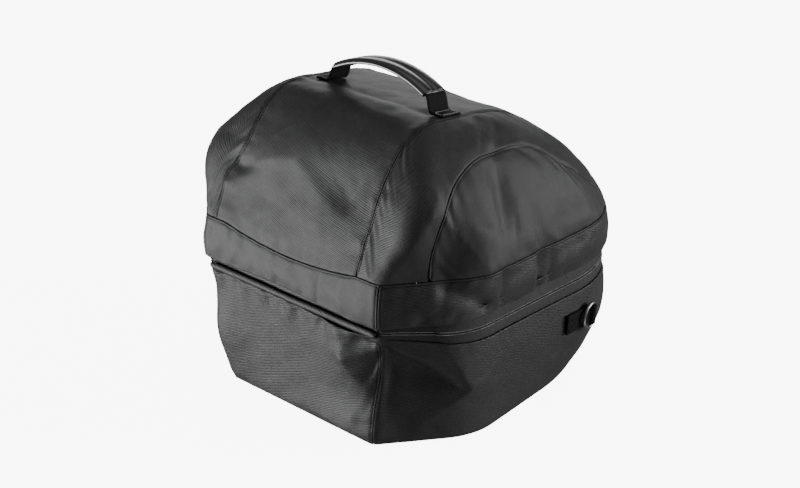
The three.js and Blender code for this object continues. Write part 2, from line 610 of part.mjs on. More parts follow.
// D-rings: each turns on its straight bar in the eye of a folded webbing tab sewn to the side wall
const ringRow = rowAtHeight(BASE_TIERS, RING_HEIGHT);
const ringOut = normalAt(baseSurface, RING_PLACE, ringRow);
const ringUp = new THREE.Vector3(0, 0, 1).addScaledVector(ringOut, -ringOut.z).normalize();
const ringBack = ringUp.clone().cross(ringOut).normalize();
const wallFrame = new THREE.Matrix4().makeBasis(ringOut, ringBack, ringUp)
  .setPosition(baseSurface.at(RING_PLACE, ringRow));
const wireRadius = RING_WIRE / 2;
const eyeInside = wireRadius + EYE_CLEARANCE;
const eyeOutside = eyeInside + TAB_FOLD;
const eyeOut = REST_GAP + eyeOutside;

function ringTab() {
  const back = REST_GAP;
  const face = back + TAB_THICK;
  const meet = Math.sqrt(eyeOutside ** 2 - (eyeOut - face) ** 2);
  const section = new THREE.Shape();
  section.moveTo(back, -TAB_FRONT);
  section.lineTo(back, TAB_EYE);
  section.absarc(eyeOut, TAB_EYE, eyeOutside, Math.PI, Math.atan2(-meet, face - eyeOut), true);
  section.lineTo(face, -TAB_FRONT);
  section.holes.push(new THREE.Path().absarc(eyeOut, TAB_EYE, eyeInside, 0, 2 * Math.PI, false));
  const width = { depth: TAB_WIDTH, bevelEnabled: false, curveSegments: 16 };
  const tab = new THREE.ExtrudeGeometry(section, width);
  return solid(tab.translate(0, 0, -TAB_WIDTH / 2));
}
function dRing() {
  const halfBar = (RING_INSIDE + RING_WIRE) / 2;
  const bar = spread(-BAR_STRAIGHT_SHARE, BAR_STRAIGHT_SHARE, 6).map((share) => [0, share * halfBar]);
  const bow = spread(BOW_START, 1 - BOW_START, 12).map((share) => [
    RING_DEPTH * Math.sin(Math.PI * share) ** BOW_FULLNESS, halfBar * Math.cos(Math.PI * share)]);
  const away = (reach, rise) => new THREE.Vector3(
    eyeOut + reach * Math.sin(RING_TILT), TAB_EYE - reach * Math.cos(RING_TILT), rise);
  const wire = new THREE.CatmullRomCurve3([...bar, ...bow].map(([reach, rise]) => away(reach, rise)), true);
  return solid(new THREE.TubeGeometry(wire, 30, wireRadius, 8, true));
}
function mirrored(geometry) {
  const copy = geometry.clone().scale(-1, 1, 1);
  const index = copy.getIndex();
  for (let i = 0; i < index.count; i += 3) {
    const second = index.getX(i + 1);
    index.setX(i + 1, index.getX(i + 2));
    index.setX(i + 2, second);
  }
  return copy;
}
const tab = ringTab().applyMatrix4(wallFrame);
const ring = dRing().applyMatrix4(wallFrame);
addPiece('ring_tab_right', tab, webbing);
addPiece('ring_tab_left', mirrored(tab), webbing);
addPiece('d_ring_right', ring, plastic);
addPiece('d_ring_left', mirrored(ring), plastic);

// Zip slider with its pull, at the closed end of the zip on the left front corner
function zipSlider() {
  const row = rowAtHeight(BASE_TIERS, coilHeight(SLIDER_PLACE));
  const out = normalAt(baseSurface, SLIDER_PLACE, row).setZ(0).normalize();
  const up = new THREE.Vector3(0, 0, 1);
  const along = up.clone().cross(out);
  const frame = new THREE.Matrix4().makeBasis(out, along, up).setPosition(baseSurface.at(SLIDER_PLACE, row));
  const pullBack = SLIDER_DEPTH - PULL_THICK;
  const section = new THREE.Shape([
    new THREE.Vector2(REST_GAP, SLIDER_ABOVE), new THREE.Vector2(SLIDER_DEPTH, SLIDER_ABOVE),
    new THREE.Vector2(SLIDER_DEPTH, -PULL_LENGTH), new THREE.Vector2(pullBack, -PULL_LENGTH),
    new THREE.Vector2(pullBack, -SLIDER_BELOW), new THREE.Vector2(REST_GAP, -SLIDER_BELOW),
  ]);
  const slider = new THREE.ExtrudeGeometry(section, { depth: SLIDER_WIDTH, bevelEnabled: false });
  slider.translate(0, 0, -SLIDER_WIDTH / 2).rotateX(Math.PI / 2);
  return mirrored(solid(slider.applyMatrix4(frame)));
}
addPiece('zip_slider', zipSlider(), metal);

export default bag;
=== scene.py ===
import math

import bmesh
import bpy
import numpy as np
from mathutils import Matrix, Vector


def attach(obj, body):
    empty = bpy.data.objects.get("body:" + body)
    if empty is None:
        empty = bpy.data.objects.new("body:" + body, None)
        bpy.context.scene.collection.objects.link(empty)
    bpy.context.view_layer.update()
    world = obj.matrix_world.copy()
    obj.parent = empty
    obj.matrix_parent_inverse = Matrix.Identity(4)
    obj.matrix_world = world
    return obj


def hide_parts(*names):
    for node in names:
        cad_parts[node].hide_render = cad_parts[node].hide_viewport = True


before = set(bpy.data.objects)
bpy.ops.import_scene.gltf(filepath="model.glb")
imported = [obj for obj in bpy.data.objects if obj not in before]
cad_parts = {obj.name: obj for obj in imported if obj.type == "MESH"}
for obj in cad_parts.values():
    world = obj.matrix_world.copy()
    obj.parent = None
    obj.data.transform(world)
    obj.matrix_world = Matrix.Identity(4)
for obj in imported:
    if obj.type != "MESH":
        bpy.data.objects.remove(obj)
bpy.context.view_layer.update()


# Base walls: four panels of black coated nylon twill, sewn together at the slanted corners and turned under
# to the floor panel. Each panel is a sheet laid on the bag's plan, then given its folds, its sewn edges and
# a wall thickness. Sizes are in millimetres until a mesh is written.
MM = 0.001
PLAN_NAMES = ("z", "z_back", "front", "back", "near_half", "near_lean", "near_cut", "side", "side_back",
              "far_cut", "far_half", "far_lean", "near_round", "sag")
BASE_PLAN = np.array([
    [0, 0, -148, 146, 102, 0, 84, 162, 142, 64, 112, 0, 7, 0],
    [1.5, 1.5, -152, 150.5, 105.5, 0, 86, 166.5, 147, 64, 117, 0, 7, 0],
    [6, 6, -154, 155, 108, 0, 87, 169, 153, 64, 124, 0, 7, 0],
    [38, 38, -156.5, 164, 112, 0, 86, 172, 166, 62, 139, 0, 7, 0],
    [82, 82, -160, 169, 119, 0, 82, 176, 176, 58, 150, 0, 7, 0],
    [136, 136, -164, 166, 126, 0, 77, 179, 174.5, 55, 147, 0, 7, 0],
    [150, 150, -163, 163.5, 125, 0, 77, 178, 171.5, 55, 145, 0, 7, 0],
])
NEAR_SEAM, FAR_SEAM, BACK_MIDDLE = 1.5, 7.5, 9.0
ALL_ROUND = 2 * BACK_MIDDLE
# the four sides of the bag, with the stations where their panels start and end
SIDES_ROUND = (("front", -NEAR_SEAM, NEAR_SEAM), ("back", FAR_SEAM, ALL_ROUND - FAR_SEAM),
               ("side_right", NEAR_SEAM, FAR_SEAM), ("side_left", -FAR_SEAM, -NEAR_SEAM))
BEND_REACHES = (30, 34, 22)
LONGEST_BEND = 0.42
STRIP_HALF = 97.0


def unit(ways):
    return ways / np.maximum(np.linalg.norm(ways, axis=-1, keepdims=True), 1e-12)


def ease(share):
    held = np.clip(share, 0, 1)
    return held * held * (3 - 2 * held)


def read_at(at, marks, table):
    """Each column of a table, read at places between its marks."""
    return np.stack([np.interp(at, marks, column) for column in table.T], -1)


def spread(sheet, u, v):
    """Grid of a sheet's points at the given shares of the way along and across it."""
    return sheet(*np.meshgrid(u, v, indexing="ij"))


def plan_at(rows, row):
    """The plan's sizes at a row number with a fraction, smooth between the rows."""
    last = len(rows) - 1
    at = np.clip(row, 0, last)
    i = np.minimum(at.astype(int), last - 1)
    t = (at - i)[..., None]
    a, b, c, d = rows[np.maximum(i - 1, 0)], rows[i], rows[i + 1], rows[np.minimum(i + 2, last)]
    slope_in, slope_out, rise = (c - a) / 2, (d - b) / 2, b - c
    bend = -3 * rise - 2 * slope_in - slope_out
    value = b + t * (slope_in + t * (bend + t * (2 * rise + slope_in + slope_out)))
    return {name: value[..., k] for k, name in enumerate(PLAN_NAMES)}


def outline(plan, station, start_x):
    """Point of the six-sided half outline: even stretches are straight, odd ones bend between them."""
    near = plan["front"] + plan["near_lean"]
    far = plan["back"] - plan["far_lean"]
    none = 0 * near
    middle = start_x + none
    x = (middle, plan["near_half"], plan["side"], plan["side_back"], plan["far_half"], middle)
    y = (plan["front"], near, near + plan["near_cut"], far - plan["far_cut"], far, plan["back"])
    corners = np.stack([np.stack(x, -1), np.stack(y, -1)], -1)
    reach = (none, plan["near_round"], *(size + none for size in BEND_REACHES), none)

    def towards(a, b):
        way = corners[..., b, :] - corners[..., a, :]
        length = np.maximum(np.linalg.norm(way, axis=-1), 1e-9)
        return corners[..., a, :] + way * np.minimum(reach[a] / length, LONGEST_BEND)[..., None]

    stretch = np.minimum(np.floor(station), 8)
    t = (station - stretch)[..., None]
    found = np.zeros(corners[..., 0, :].shape)
    for k in range(9):
        c = (k + 1) // 2
        if k % 2 == 0:
            here = towards(c, c + 1) * (1 - t) + towards(c + 1, c) * t
        else:
            here = towards(c, c - 1) * (1 - t) ** 2 + corners[..., c, :] * 2 * t * (1 - t)
            here = here + towards(c, c + 1) * t * t
        found = np.where((stretch == k)[..., None], here, found)
    return found


def sag_at(plan, x):
    return plan["sag"] * np.maximum(0, 1 - (x / STRIP_HALF) ** 2)


def ring_point(rows, station, row, start_x=0.0):
    """Point of the whole outline, which runs from -9 at the back, over 0 at the front, to 9 and past it."""
    wrapped = np.where(station > BACK_MIDDLE, station - ALL_ROUND, station)
    plan = plan_at(rows, row)
    flat = outline(plan, np.abs(wrapped), start_x)
    share = (flat[..., 1] - plan["front"]) / (plan["back"] - plan["front"])
    sag = np.where(np.abs(wrapped) < NEAR_SEAM, sag_at(plan, flat[..., 0]), 0)
    z = plan["z"] + (plan["z_back"] - plan["z"]) * share - sag
    return np.stack([np.where(wrapped < 0, -flat[..., 0], flat[..., 0]), flat[..., 1], z], -1)


base_rows = np.linspace(0, len(BASE_PLAN) - 1, 601)
base_heights = plan_at(BASE_PLAN, base_rows)["z"]


def base_row(z):
    return np.interp(z, base_heights, base_rows)


# x, y, z of the middle, the way, the reach along it, the width across it, the depth
FRONT_FOLDS = np.array([
    [-116, -158, 58, 0.1, 0, 1, 42, 40, -8],
    [75, -153, 16, 1, 0, 0.2, 50, 26, -7],
    [123, -156, 84, -0.1, 0.03, 1, 38, 22, 11],
    [-93, -140, 251, 1, 0, 0.15, 18, 10, 5],
    [25, -138, 258, 1, 0, -0.2, 60, 22, 3],
])
SIDE_FOLDS = np.array([
    [144, -123, 78, 0.44, 0.79, -0.45, 36, 24, 11],
    [172, -36, 258, 0.35, -0.2, -0.9, 34, 13, 5],
    [166, -108, 211, 0.3, 0.6, 0.3, 22, 17, 4],
    [146, -140, 209, 0.5, 0.5, -0.3, 22, 16, 3],
    [147, -128, 245, 0.15, 0.5, 0.85, 34, 18, -6],
    [182, -92, 176, 0.2, 0.9, -0.2, 18, 12, 3],
    [186, 16, 172, 0, 0, 1, 20, 9, 2.5],
    [166, 78, 50, 0, 1, 0.1, 24, 9, 3],
])
FOLD_FOOT = 12.0


def fold_depth(points):
    """How far the large folds of the cloth sink a point; side folds hold on both sides."""
    side = points * np.where(points[..., :1] < 0, (-1, 1, 1), (1, 1, 1))
    depth = np.zeros(points.shape[:-1])
    for at, folds in ((points, FRONT_FOLDS), (side, SIDE_FOLDS)):
        for fold in folds:
            away = at - fold[:3]
            along = away @ unit(fold[3:6])
            across = np.maximum((away ** 2).sum(-1) - along ** 2, 0)
            depth += fold[8] * np.exp(-(along / fold[6]) ** 2 - across / fold[7] ** 2)
    return depth * ease(points[..., 2] / FOLD_FOOT)


# start and end of a crease line, its height (below 0 sinks), its widths to the left and right of the way
FRONT_CREASES = np.array([
    [126, -163, 127, 88, -161, 120, -3.2, 6, 6],
    [122, -161, 117, 82, -160, 98, 2.2, 6, 8],
    [121, -160, 107, 104, -160, 80, -2.6, 6, 8],
    [110, -158, 27, 93, -161, 24, -2.5, 4, 5],
    [86, -161, 31, 92, -160, 14, 1.6, 4, 6],
    [-112, -142, 240, -78, -139, 252, -0.8, 7, 7],
    [-108, -144, 231, -78, -141, 245, 1.5, 6, 8],
    [-55, -39, 322, 72, -40, 322, -1.8, 8, 6],
    [-56, -120, 288, -44, -113, 299, 1.0, 3, 4],
    [81, -127, 272, 84, -136, 258, -1.3, 4, 4],
    [47, -169, 172, 46, -170, 152, -1.3, 6, 4],
])
SIDE_CREASES = np.array([
    [129, -154, 116, 161, -91, 71, -5.0, 4, 11],
    [153, -107, 94, 163, -88, 76, 2.6, 6, 4],
    [124, -149, 95, 120, -150, 74, 2.4, 5, 4],
    [169, 55, 48, 168, 90, 54, 1.5, 4, 7],
    [153, -111, 260, 186, -73, 195, 2.6, 18, 7],
    [145, -24, 296, 180, -44, 232, -2.4, 20, 8],
    [179, -66, 237, 182, -43, 229, -1.2, 3, 3],
    [181, -26, 233, 184, -29, 222, -1.2, 3, 3],
    [112, -7, 315, 140, -33, 302, -1.5, 6, 3],
    [125, 5, 308, 145, -19, 296, -2.0, 6, 4],
    [143, 9, 296, 140, 34, 293, 1.0, 3, 3],
    [108, -128, 274, 126, -126, 273, -1.5, 4, 4],
    [167, -110, 181, 185, -73, 157, -7.5, 9, 7],
    [188, -49, 180, 185, -47, 152, -5.0, 7, 5],
    [187, 8, 181, 181, 15, 148, -6.0, 9, 5],
    [184, 28, 180, 181, 32, 150, -4.0, 6, 5],
])
CREASE_END = 9.0

# bent creases, as x, y, z and height of each point: the strip's tongue-shaped fold is a ridge from the left
# seam down to its tip, then a valley up to the top; the front wall stands out beside its right seam; on
# each side the base has a ridge round its hollow corner and the dome stands out beside the arch's foot
TONGUE_RIDGE = np.array([
    (-98, -141, 245, 0), (-82, -138, 253, 3), (-51, -134, 264, 5), (-21, -130, 272, 5.5), (4, -134, 260, 5),
    (24, -140, 248, 4), (43, -143, 240, 1)])
TONGUE_VALLEY = np.array([
    (43, -143, 240, -1), (58, -139, 250, -4), (68, -130, 269, -4.5), (77, -118, 290, -3),
    (83, -96, 311, 0)])
FRONT_CREST = np.array([
    (118, -163, 131, 1), (96, -162.6, 128, 5), (82, -161, 115, 8.5), (76, -160, 100, 9),
    (81, -160, 86, 8.5), (91, -159, 76, 6), (104, -158, 67, 3), (112, -157, 63, 0)])
CORNER_RIDGE = np.array([
    (163, -104, 112, 4), (166, -90, 88, 7), (167, -79, 65, 9), (160, -89, 55, 8.5), (151, -102, 45, 7),
    (140, -114, 30, 4.5), (133, -121, 14, 1)])
DOME_RIDGE = np.array([
    (129, -157, 206, 1), (143.6, -140.7, 227, 4), (150, -119, 257, 5), (147.9, -106.6, 275, 3),
    (143, -85, 291, 0)])
# each bent crease with its widths to the left and right of the way
FRONT_BENT = ((TONGUE_RIDGE, 28, 20), (TONGUE_VALLEY, 26, 12), (FRONT_CREST, 15, 34))
SIDE_BENT = ((CORNER_RIDGE, 34, 12), (DOME_RIDGE, 36, 12))
BENT_POWER, CREASE_POWER = 1.2, 1.4


def bent_height(points, normal, line, left, right):
    """Height of one bent crease, with its own width on the left and on the right of the way."""
    nearest = np.full(points.shape[:-1], np.inf)
    height = np.zeros(points.shape[:-1])
    for a, b in zip(line, line[1:]):
        way = b[:3] - a[:3]
        away = points - a[:3]
        t = np.clip((away @ way) / (way @ way), 0, 1)
        off = away - t[..., None] * way
        gap = np.linalg.norm(off, axis=-1)
        width = np.where((off * np.cross(normal, way)).sum(-1) > 0, left, right)
        raised = (a[3] + (b[3] - a[3]) * t) * np.exp(-(gap / width) ** BENT_POWER)
        height = np.where(gap < nearest, raised, height)
        nearest = np.minimum(nearest, gap)
    return height


def crease_height(points, normal):
    """How far the sharp creases raise a point; each falls off on its two sides with its own width."""
    mirror = np.where(points[..., :1] < 0, (-1, 1, 1), (1, 1, 1))
    front = points, normal
    side = points * mirror, normal * mirror
    height = np.zeros(points.shape[:-1])
    for (at, out), lines in ((front, FRONT_BENT), (side, SIDE_BENT)):
        for line, left, right in lines:
            height += bent_height(at, out, line, left, right)
    for (at, out), creases in ((front, FRONT_CREASES), (side, SIDE_CREASES)):
        for crease in creases:
            way = crease[3:6] - crease[:3]
            length = np.linalg.norm(way)
            away = at - crease[:3]
            along = away @ (way / length)
            beyond = np.maximum(np.maximum(-along, along - length), 0)
            off = away - along[..., None] * way / length
            left = (off * np.cross(out, way)).sum(-1) > 0
            reach = np.linalg.norm(off, axis=-1) / np.where(left, crease[7], crease[8])
            height += crease[6] * np.exp(-reach ** CREASE_POWER - (beyond / CREASE_END) ** 2)
    return height


def crumple(points, wavelength, seed, waves=22):
    """A soft uneven field over the cloth, about -1 to 1, with no direction of its own."""
    random = np.random.default_rng(seed)
    way = random.normal(size=(waves, 3))
    pace = random.uniform(0.7, 1.4, waves) / np.linalg.norm(way, axis=1)
    way *= pace[:, None] * 2 * math.pi / wavelength
    return np.cos(points @ way.T + random.uniform(0, 2 * math.pi, waves)).sum(-1) / math.sqrt(waves)


# profiles of a sewn edge, as distances from it and heights there: folded and stitched down, flat-felled,
# turned in under the zip with no stitches, gone down behind its neighbour, and cut
LAP, TURN = (0, 0.4, 0.9, 1.6, 2.4, 3.2, 5, 9), (0, 0.5, 1.2, 2.4, 4.5)
lapped = LAP, (-0.8, -0.15, 0.2, 0.15, -0.5, -0.15, 0.1, 0)
felled = LAP, (-0.4, -0.08, 0.12, 0.1, -0.45, -0.1, 0.1, 0)
rolled = TURN, (-0.5, -0.05, 0.2, 0.15, 0)
tucked = TURN, (-1.1, -0.7, -0.4, -0.1, 0)
plain = TURN, (0, 0, 0, 0, 0)
EDGE_LINES = (0, 0.5, 1.0, 1.5, 2.1, 2.7, 3.4, 4.4, 6.0, 8.5)
TRIM = 0.06


def grid_shares(lengths, step):
    """Shares of the way across a sheet for its grid lines, which crowd at both edges."""
    total = lengths[-1]
    near = TRIM + np.array([line for line in EDGE_LINES if line < total / 2 - 1])
    count = max(int((total - 2 * near[-1]) / step), 1)
    middle = np.linspace(near[-1], total - near[-1], count + 1)[1:-1]
    at = np.concatenate([near, middle, (total - near)[::-1]])
    return np.interp(at, lengths, np.linspace(0, 1, len(lengths)))


def steps_along(points, axis):
    size = np.linalg.norm(np.diff(points, axis=axis), axis=-1)
    start = np.zeros_like(np.take(size, [0], axis))
    return np.concatenate([start, np.cumsum(size, axis)], axis)


BAG_MIDDLE = (0, 0, 150)


def facing_out(points):
    """Normals of a grid of points, turned away from the middle of the bag."""
    normal = unit(np.cross(np.gradient(points, axis=0), np.gradient(points, axis=1)))
    middle = tuple(n // 2 for n in points.shape[:2])
    inward = normal[middle] @ (points[middle] - BAG_MIDDLE) < 0
    return -normal if inward else normal


AT_ONCE = 2000


def distance_to(points, line):
    """Distance of every point from a line of close points."""
    flat = points.reshape(-1, 3)
    parts = np.array_split(flat, 1 + len(flat) // AT_ONCE)
    near = [np.sqrt(((part[:, None] - line) ** 2).sum(-1).min(1)) for part in parts]
    return np.concatenate(near).reshape(points.shape[:-1])


def object_from(name, data):
    piece = bpy.data.objects.new(name, data)
    bpy.context.scene.collection.objects.link(piece)
    return piece


def mesh_from(name, bm):
    mesh = bpy.data.meshes.new(name)
    bm.to_mesh(mesh)
    bm.free()
    return mesh


def places_in(mesh):
    co = np.zeros(len(mesh.vertices) * 3, np.float32)
    mesh.vertices.foreach_get("co", co)
    return co.reshape(-1, 3)


def move_points(mesh, points):
    mesh.vertices.foreach_set("co", (points * MM).astype(np.float32).ravel())


NO_SEAM = 50.0


def place_grid(name, points, weave, seam=NO_SEAM):
    """A mesh grid whose points lie where the array says, with a weave map and its distance from a seam."""
    wide, high = points.shape[:2]
    bm = bmesh.new()
    bmesh.ops.create_grid(bm, x_segments=wide - 1, y_segments=high - 1, size=1)
    mesh = mesh_from(name, bm)
    co = places_in(mesh)
    i = np.rint((co[:, 0] + 1) / 2 * (wide - 1)).astype(int)
    j = np.rint((co[:, 1] + 1) / 2 * (high - 1)).astype(int)
    move_points(mesh, points[i, j])
    corner = np.zeros(len(mesh.loops), np.int32)
    mesh.loops.foreach_get("vertex_index", corner)
    layer = mesh.uv_layers.new(name="weave")
    layer.data.foreach_set("uv", (weave[i, j] * MM)[corner].astype(np.float32).ravel())
    near = np.broadcast_to(seam, (wide, high))[i, j].astype(np.float32)
    mesh.attributes.new("seam", "FLOAT", "POINT").data.foreach_set("value", near)
    across = np.cross(np.gradient(points, axis=0), np.gradient(points, axis=1))[wide // 2, high // 2]
    if across @ facing_out(points)[wide // 2, high // 2] < 0:
        mesh.flip_normals()
    mesh.shade_smooth()
    mesh.update()
    return object_from(name, mesh)


def give_wall(piece, thickness, offset=-1):
    wall = piece.modifiers.new("wall", "SOLIDIFY")
    wall.thickness, wall.offset = thickness * MM, offset


def own_weave(points):
    return np.stack([steps_along(points, 0), steps_along(points, 1)], -1)


def side_weave(points):
    """Weave of the lid's sides, cut on the slant."""
    along, up = points[..., 1], points[..., 2] - 0.6 * np.abs(points[..., 0])
    return np.stack([along + up, up - along], -1) * math.sqrt(0.5)


CLOTH_WALL = 1.8
CORNER_REACH, LEVEL_REACH, FREE_REACH = 11.0, 8.0, 14.0
GATHER_WAVE, GATHER_REACH, GATHER_START = 16, 15, 4
FLAT_FOOT, FLOOR_LEVEL = 8.0, 0.3
# least share of its flat size that a panel's cloth takes up
LEAST_CLOTH = 0.31
# wavelength and height of the small crumples
CRUMPLES = ((80, 0.8), (34, 0.3), (14, 0.1))


def cloth_panel(name, at, edges, step=2.4, weave=own_weave, crumples=CRUMPLES, sink=0.0, wall=CLOTH_WALL,
                seed=1, level=(), joined=False):
    """A sewn cloth panel. edges gives the profile of each side of the sheet and the height of its gathers;
    along the sides in level it moves only up and down and along the bag, like its neighbour. A joined panel
    looks past its ends, so that it moves the same way as the panels beside it."""
    even = np.linspace(0, 1, 81)
    middle = np.full(81, 0.5)
    u = grid_shares(steps_along(at(even, middle), 0), step)
    v = grid_shares(steps_along(at(middle, even), 0), step)
    points = spread(at, u, v)
    sides = {"u0": points[0], "u1": points[-1], "v0": points[:, 0], "v1": points[:, -1]}
    away = {side: distance_to(points, sides[side]) for side in edges}
    past = np.concatenate([[2 * u[0] - u[1]], u, [2 * u[-1] - u[-2]]]) if joined else u
    normal = facing_out(spread(at, past, v))
    if joined:
        normal = normal[1:-1]
        for side, end in (("u0", normal[0].copy()), ("u1", normal[-1].copy())):
            near = np.exp(-(away[side] / CORNER_REACH) ** 2)[..., None]
            normal = normal * (1 - near) + end * near
    for side in level:
        normal[..., 0] *= 1 - np.exp(-(away[side] / LEVEL_REACH) ** 2)
    normal = unit(normal)
    lift = crease_height(points, normal) - fold_depth(points) - sink
    free = np.clip(np.minimum.reduce(list(away.values())) / FREE_REACH, 0, 1) ** 1.5
    sewn = [away[side] for side in edges if edges[side][0] not in (plain, rolled)]
    seam = np.minimum.reduce(sewn)
    for k, (wavelength, height) in enumerate(crumples):
        lift += height * free * crumple(points, wavelength, seed + 10 * k)
    for k, (side, (profile, gathers)) in enumerate(edges.items()):
        d = away[side]
        beside = np.expand_dims(sides[side], 0 if side[0] == "u" else 1)
        pulled = crumple(beside, GATHER_WAVE, seed + 50 + k) * np.exp(-(d / GATHER_REACH) ** 2)
        pulled = pulled * np.clip(d / GATHER_START, 0, 1)
        if joined and side[0] == "v":
            pulled = pulled * np.clip(np.minimum(away["u0"], away["u1"]) / CORNER_REACH, 0, 1)
        lift += np.interp(d, *profile) + gathers * pulled
    lift *= np.clip(points[..., 2] / FLAT_FOOT, 0, 1)
    points = points + normal * lift[..., None]
    points[..., 2] = np.maximum(points[..., 2], FLOOR_LEVEL)
    piece = place_grid(name, points, weave(points), seam)
    give_wall(piece, wall)
    size = steps_along(points, 0)[-1].max() * MM, steps_along(points, 1)[:, -1].max() * MM
    cells = np.cross(points[1:, :-1] - points[:-1, :-1], points[:-1, 1:] - points[:-1, :-1])
    area = np.linalg.norm(cells, axis=-1).sum() * MM * MM / (size[0] * size[1])
    area = float(np.clip(area, LEAST_CLOTH, 1)) * size[0] * size[1]
    return {"piece": piece, "points": points, "normal": facing_out(points), "away": away, "flat": size,
            "area": area}


def set_piece(piece, material, slot, *nodes, body="bag"):
    """Gives a piece its material and the body it rides on, and hides the solids that it replaces. The slot
    is not used.
    """
    piece.data.materials.append(material)
    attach(piece, body)
    if nodes:
        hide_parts(*nodes)


def set_sheet(panel, material, slot, node, *beside):
    """Sets a sewn panel as a piece, with its material, the body it rides on and the solid that it replaces.
    The neighbours in beside are not used.
    """
    set_piece(panel["piece"], material, slot, node)


class Wire:
    """A shader socket that takes part in Python sums; node() adds any other node to its tree."""

    def __init__(self, tree, socket=None):
        self.tree, self.socket = tree, socket

    def node(self, kind, settings, sockets, out=0):
        made = self.tree.nodes.new(kind)
        for name, value in settings.items():
            setattr(made, name, value)
        for name, value in sockets.items():
            if isinstance(value, Wire):
                self.tree.links.new(value.socket, made.inputs[name])
            else:
                made.inputs[name].default_value = value
        return Wire(self.tree, made.outputs[out])

    def sum(self, operation, *values):
        return self.node("ShaderNodeMath", {"operation": operation}, dict(enumerate(values)))

    def __add__(self, other):
        return self.sum("ADD", self, other)

    def __mul__(self, other):
        return self.sum("MULTIPLY", self, other)

    def waves(self, pitch):
        return self.sum("SINE", self * (2 * math.pi / pitch))

    def noise(self, scale, detail):
        place = self.node("ShaderNodeTexCoord", {}, {}, 3)
        return self.node("ShaderNodeTexNoise", {}, {"Vector": place, "Scale": scale, "Detail": detail})

    def greys(self, *stops):
        """A ramp through the greys at the given places, which this socket runs along."""
        ramp = self.node("ShaderNodeValToRGB", {}, {"Fac": self})
        elements = ramp.socket.node.color_ramp.elements
        while len(elements) < len(stops):
            elements.new(1)
        for stop, (place, grey) in zip(elements, stops):
            stop.position, stop.color = place, (grey, grey, grey, 1)
        return ramp

    def to(self, shader, name):
        self.tree.links.new(self.socket, shader.inputs[name])


def new_finish(name, **constants):
    """A material with one Principled shader, its constant sockets set, and a wire to start nodes from."""
    material = bpy.data.materials.new(name)
    material.use_nodes = True
    tree = material.node_tree
    shader = tree.nodes["Principled BSDF"]
    for socket, value in constants.items():
        shader.inputs[socket.replace("_", " ")].default_value = value
    return material, Wire(tree), shader


RIB_SPACING = 1.8
THREAD_PITCH = 0.0009


def cloth_finish(name, colour, roughness, twill, slant, relief, sheen, gloss=0.23):
    """Woven cloth: slanted twill lines, wider ribs and single threads in relief, with uneven dye and dust,
    edges rubbed lighter beside the seams, and painted shade darkening the seam line in its groove."""
    material, start, shader = new_finish(
        name, Sheen_Weight=sheen, Sheen_Roughness=0.45, Specular_IOR_Level=gloss)
    uv = start.node("ShaderNodeUVMap", {"uv_map": "weave"}, {})
    u, v = (start.node("ShaderNodeSeparateXYZ", {}, {"Vector": uv}, axis) for axis in (0, 1))
    lines = (u * slant + v).waves(twill)
    ribs = (u * slant + v).waves(RIB_SPACING * twill)
    threads = u.waves(THREAD_PITCH) * v.waves(THREAD_PITCH)
    cloud = start.noise(16.0, 4.0)
    fleck = start.noise(420.0, 2.0)
    seam = start.node("ShaderNodeAttribute", {"attribute_name": "seam"}, {}, 2)
    # painted shade: on the seam line itself the ramp darkens the cloth to 0.4, standing in for the shade in
    # the seam's groove; a little way off it lightens it to 1.3 for edges rubbed by wear
    groove_shade_and_wear = (seam * 0.1).greys((0.0, 0.4), (0.05, 0.8), (0.11, 1.3), (0.25, 0.95), (0.5, 1.0))
    tone = (cloud * 0.5 + 0.72) * (lines * 0.2 + ribs * 0.15 + 1) * (fleck * 0.9 + 0.55) * groove_shade_and_wear
    tint = {channel: tone * share for channel, share in zip(("Red", "Green", "Blue"), colour)}
    start.node("ShaderNodeCombineColor", {}, tint).to(shader, "Base Color")
    (cloud * 0.12 + lines * 0.05 + ribs * 0.03 + (roughness - 0.06)).to(shader, "Roughness")
    height = lines * 0.5 + ribs * 0.18 + threads * 0.3 + fleck * 0.5
    relief_of = {"Strength": relief, "Distance": 0.0004, "Height": height}
    start.node("ShaderNodeBump", {}, relief_of).to(shader, "Normal")
    return material


nylon = cloth_finish("black_nylon", (0.0240, 0.0240, 0.0250), 0.50, 0.0018, 0.3, 0.38, 0.0)


RIM_FRONT, RIM_DROP, RIM_RUN = 131, 14, 2.5


def rim_height(station):
    away = BACK_MIDDLE - np.abs(BACK_MIDDLE - np.abs(station))
    return RIM_FRONT - RIM_DROP * ease((away - NEAR_SEAM) / RIM_RUN)


def base_wall(first, last):
    def at(u, v):
        station = first + (last - first) * u
        return ring_point(BASE_PLAN, station, v * base_row(rim_height(station)))
    return at


def front_weave(points):
    """Weave of the base's front, which slants the other way."""
    return own_weave(points) * (-1.15, 1.0)


base_panels = {}
for seed, (part, first, last) in enumerate(SIDES_ROUND, 3):
    gathers = {"front": 2.0, "back": 0.5}.get(part, 0.4)
    panel = cloth_panel(f"base_{part}_cloth", base_wall(first, last), {
        "u0": (felled, 0.12), "u1": (felled, 0.12), "v0": (plain, 0.2), "v1": (rolled, gathers)},
        weave=front_weave if part == "front" else own_weave,
        crumples=((90, 0.5), (34, 0.2), (14, 0.08)), seed=seed, joined=True)
    set_sheet(panel, nylon, "nylon", f"base_{part}", "base_floor_cloth")
    base_panels[part] = panel


# Stitching: black bonded thread in a straight lockstitch, sunk beside each lapped or felled seam. Each
# stitch is a short rounded length of thread that lies on the cloth.
def sewn_line(panel, side, distance):
    """Points and normals on a panel at a distance from one of its sides."""
    axis = 0 if side[0] == "u" else 1
    parts = panel["away"][side][..., None], panel["points"], panel["normal"]
    grid = np.moveaxis(np.concatenate(parts, -1), axis, 0)[::-1 if side[1] == "1" else 1]
    ways = np.moveaxis(grid[:len(grid) // 2], 1, 0)
    line = np.array([read_at(distance, way[:, 0], way[:, 1:]) for way in ways])
    return line[:, :3], line[:, 3:]


def evenly(points, normal, pitch):
    lengths = steps_along(points, 0)
    at = np.arange(pitch, lengths[-1] - pitch / 2, pitch)
    return read_at(at, lengths, points), read_at(at, lengths, normal)


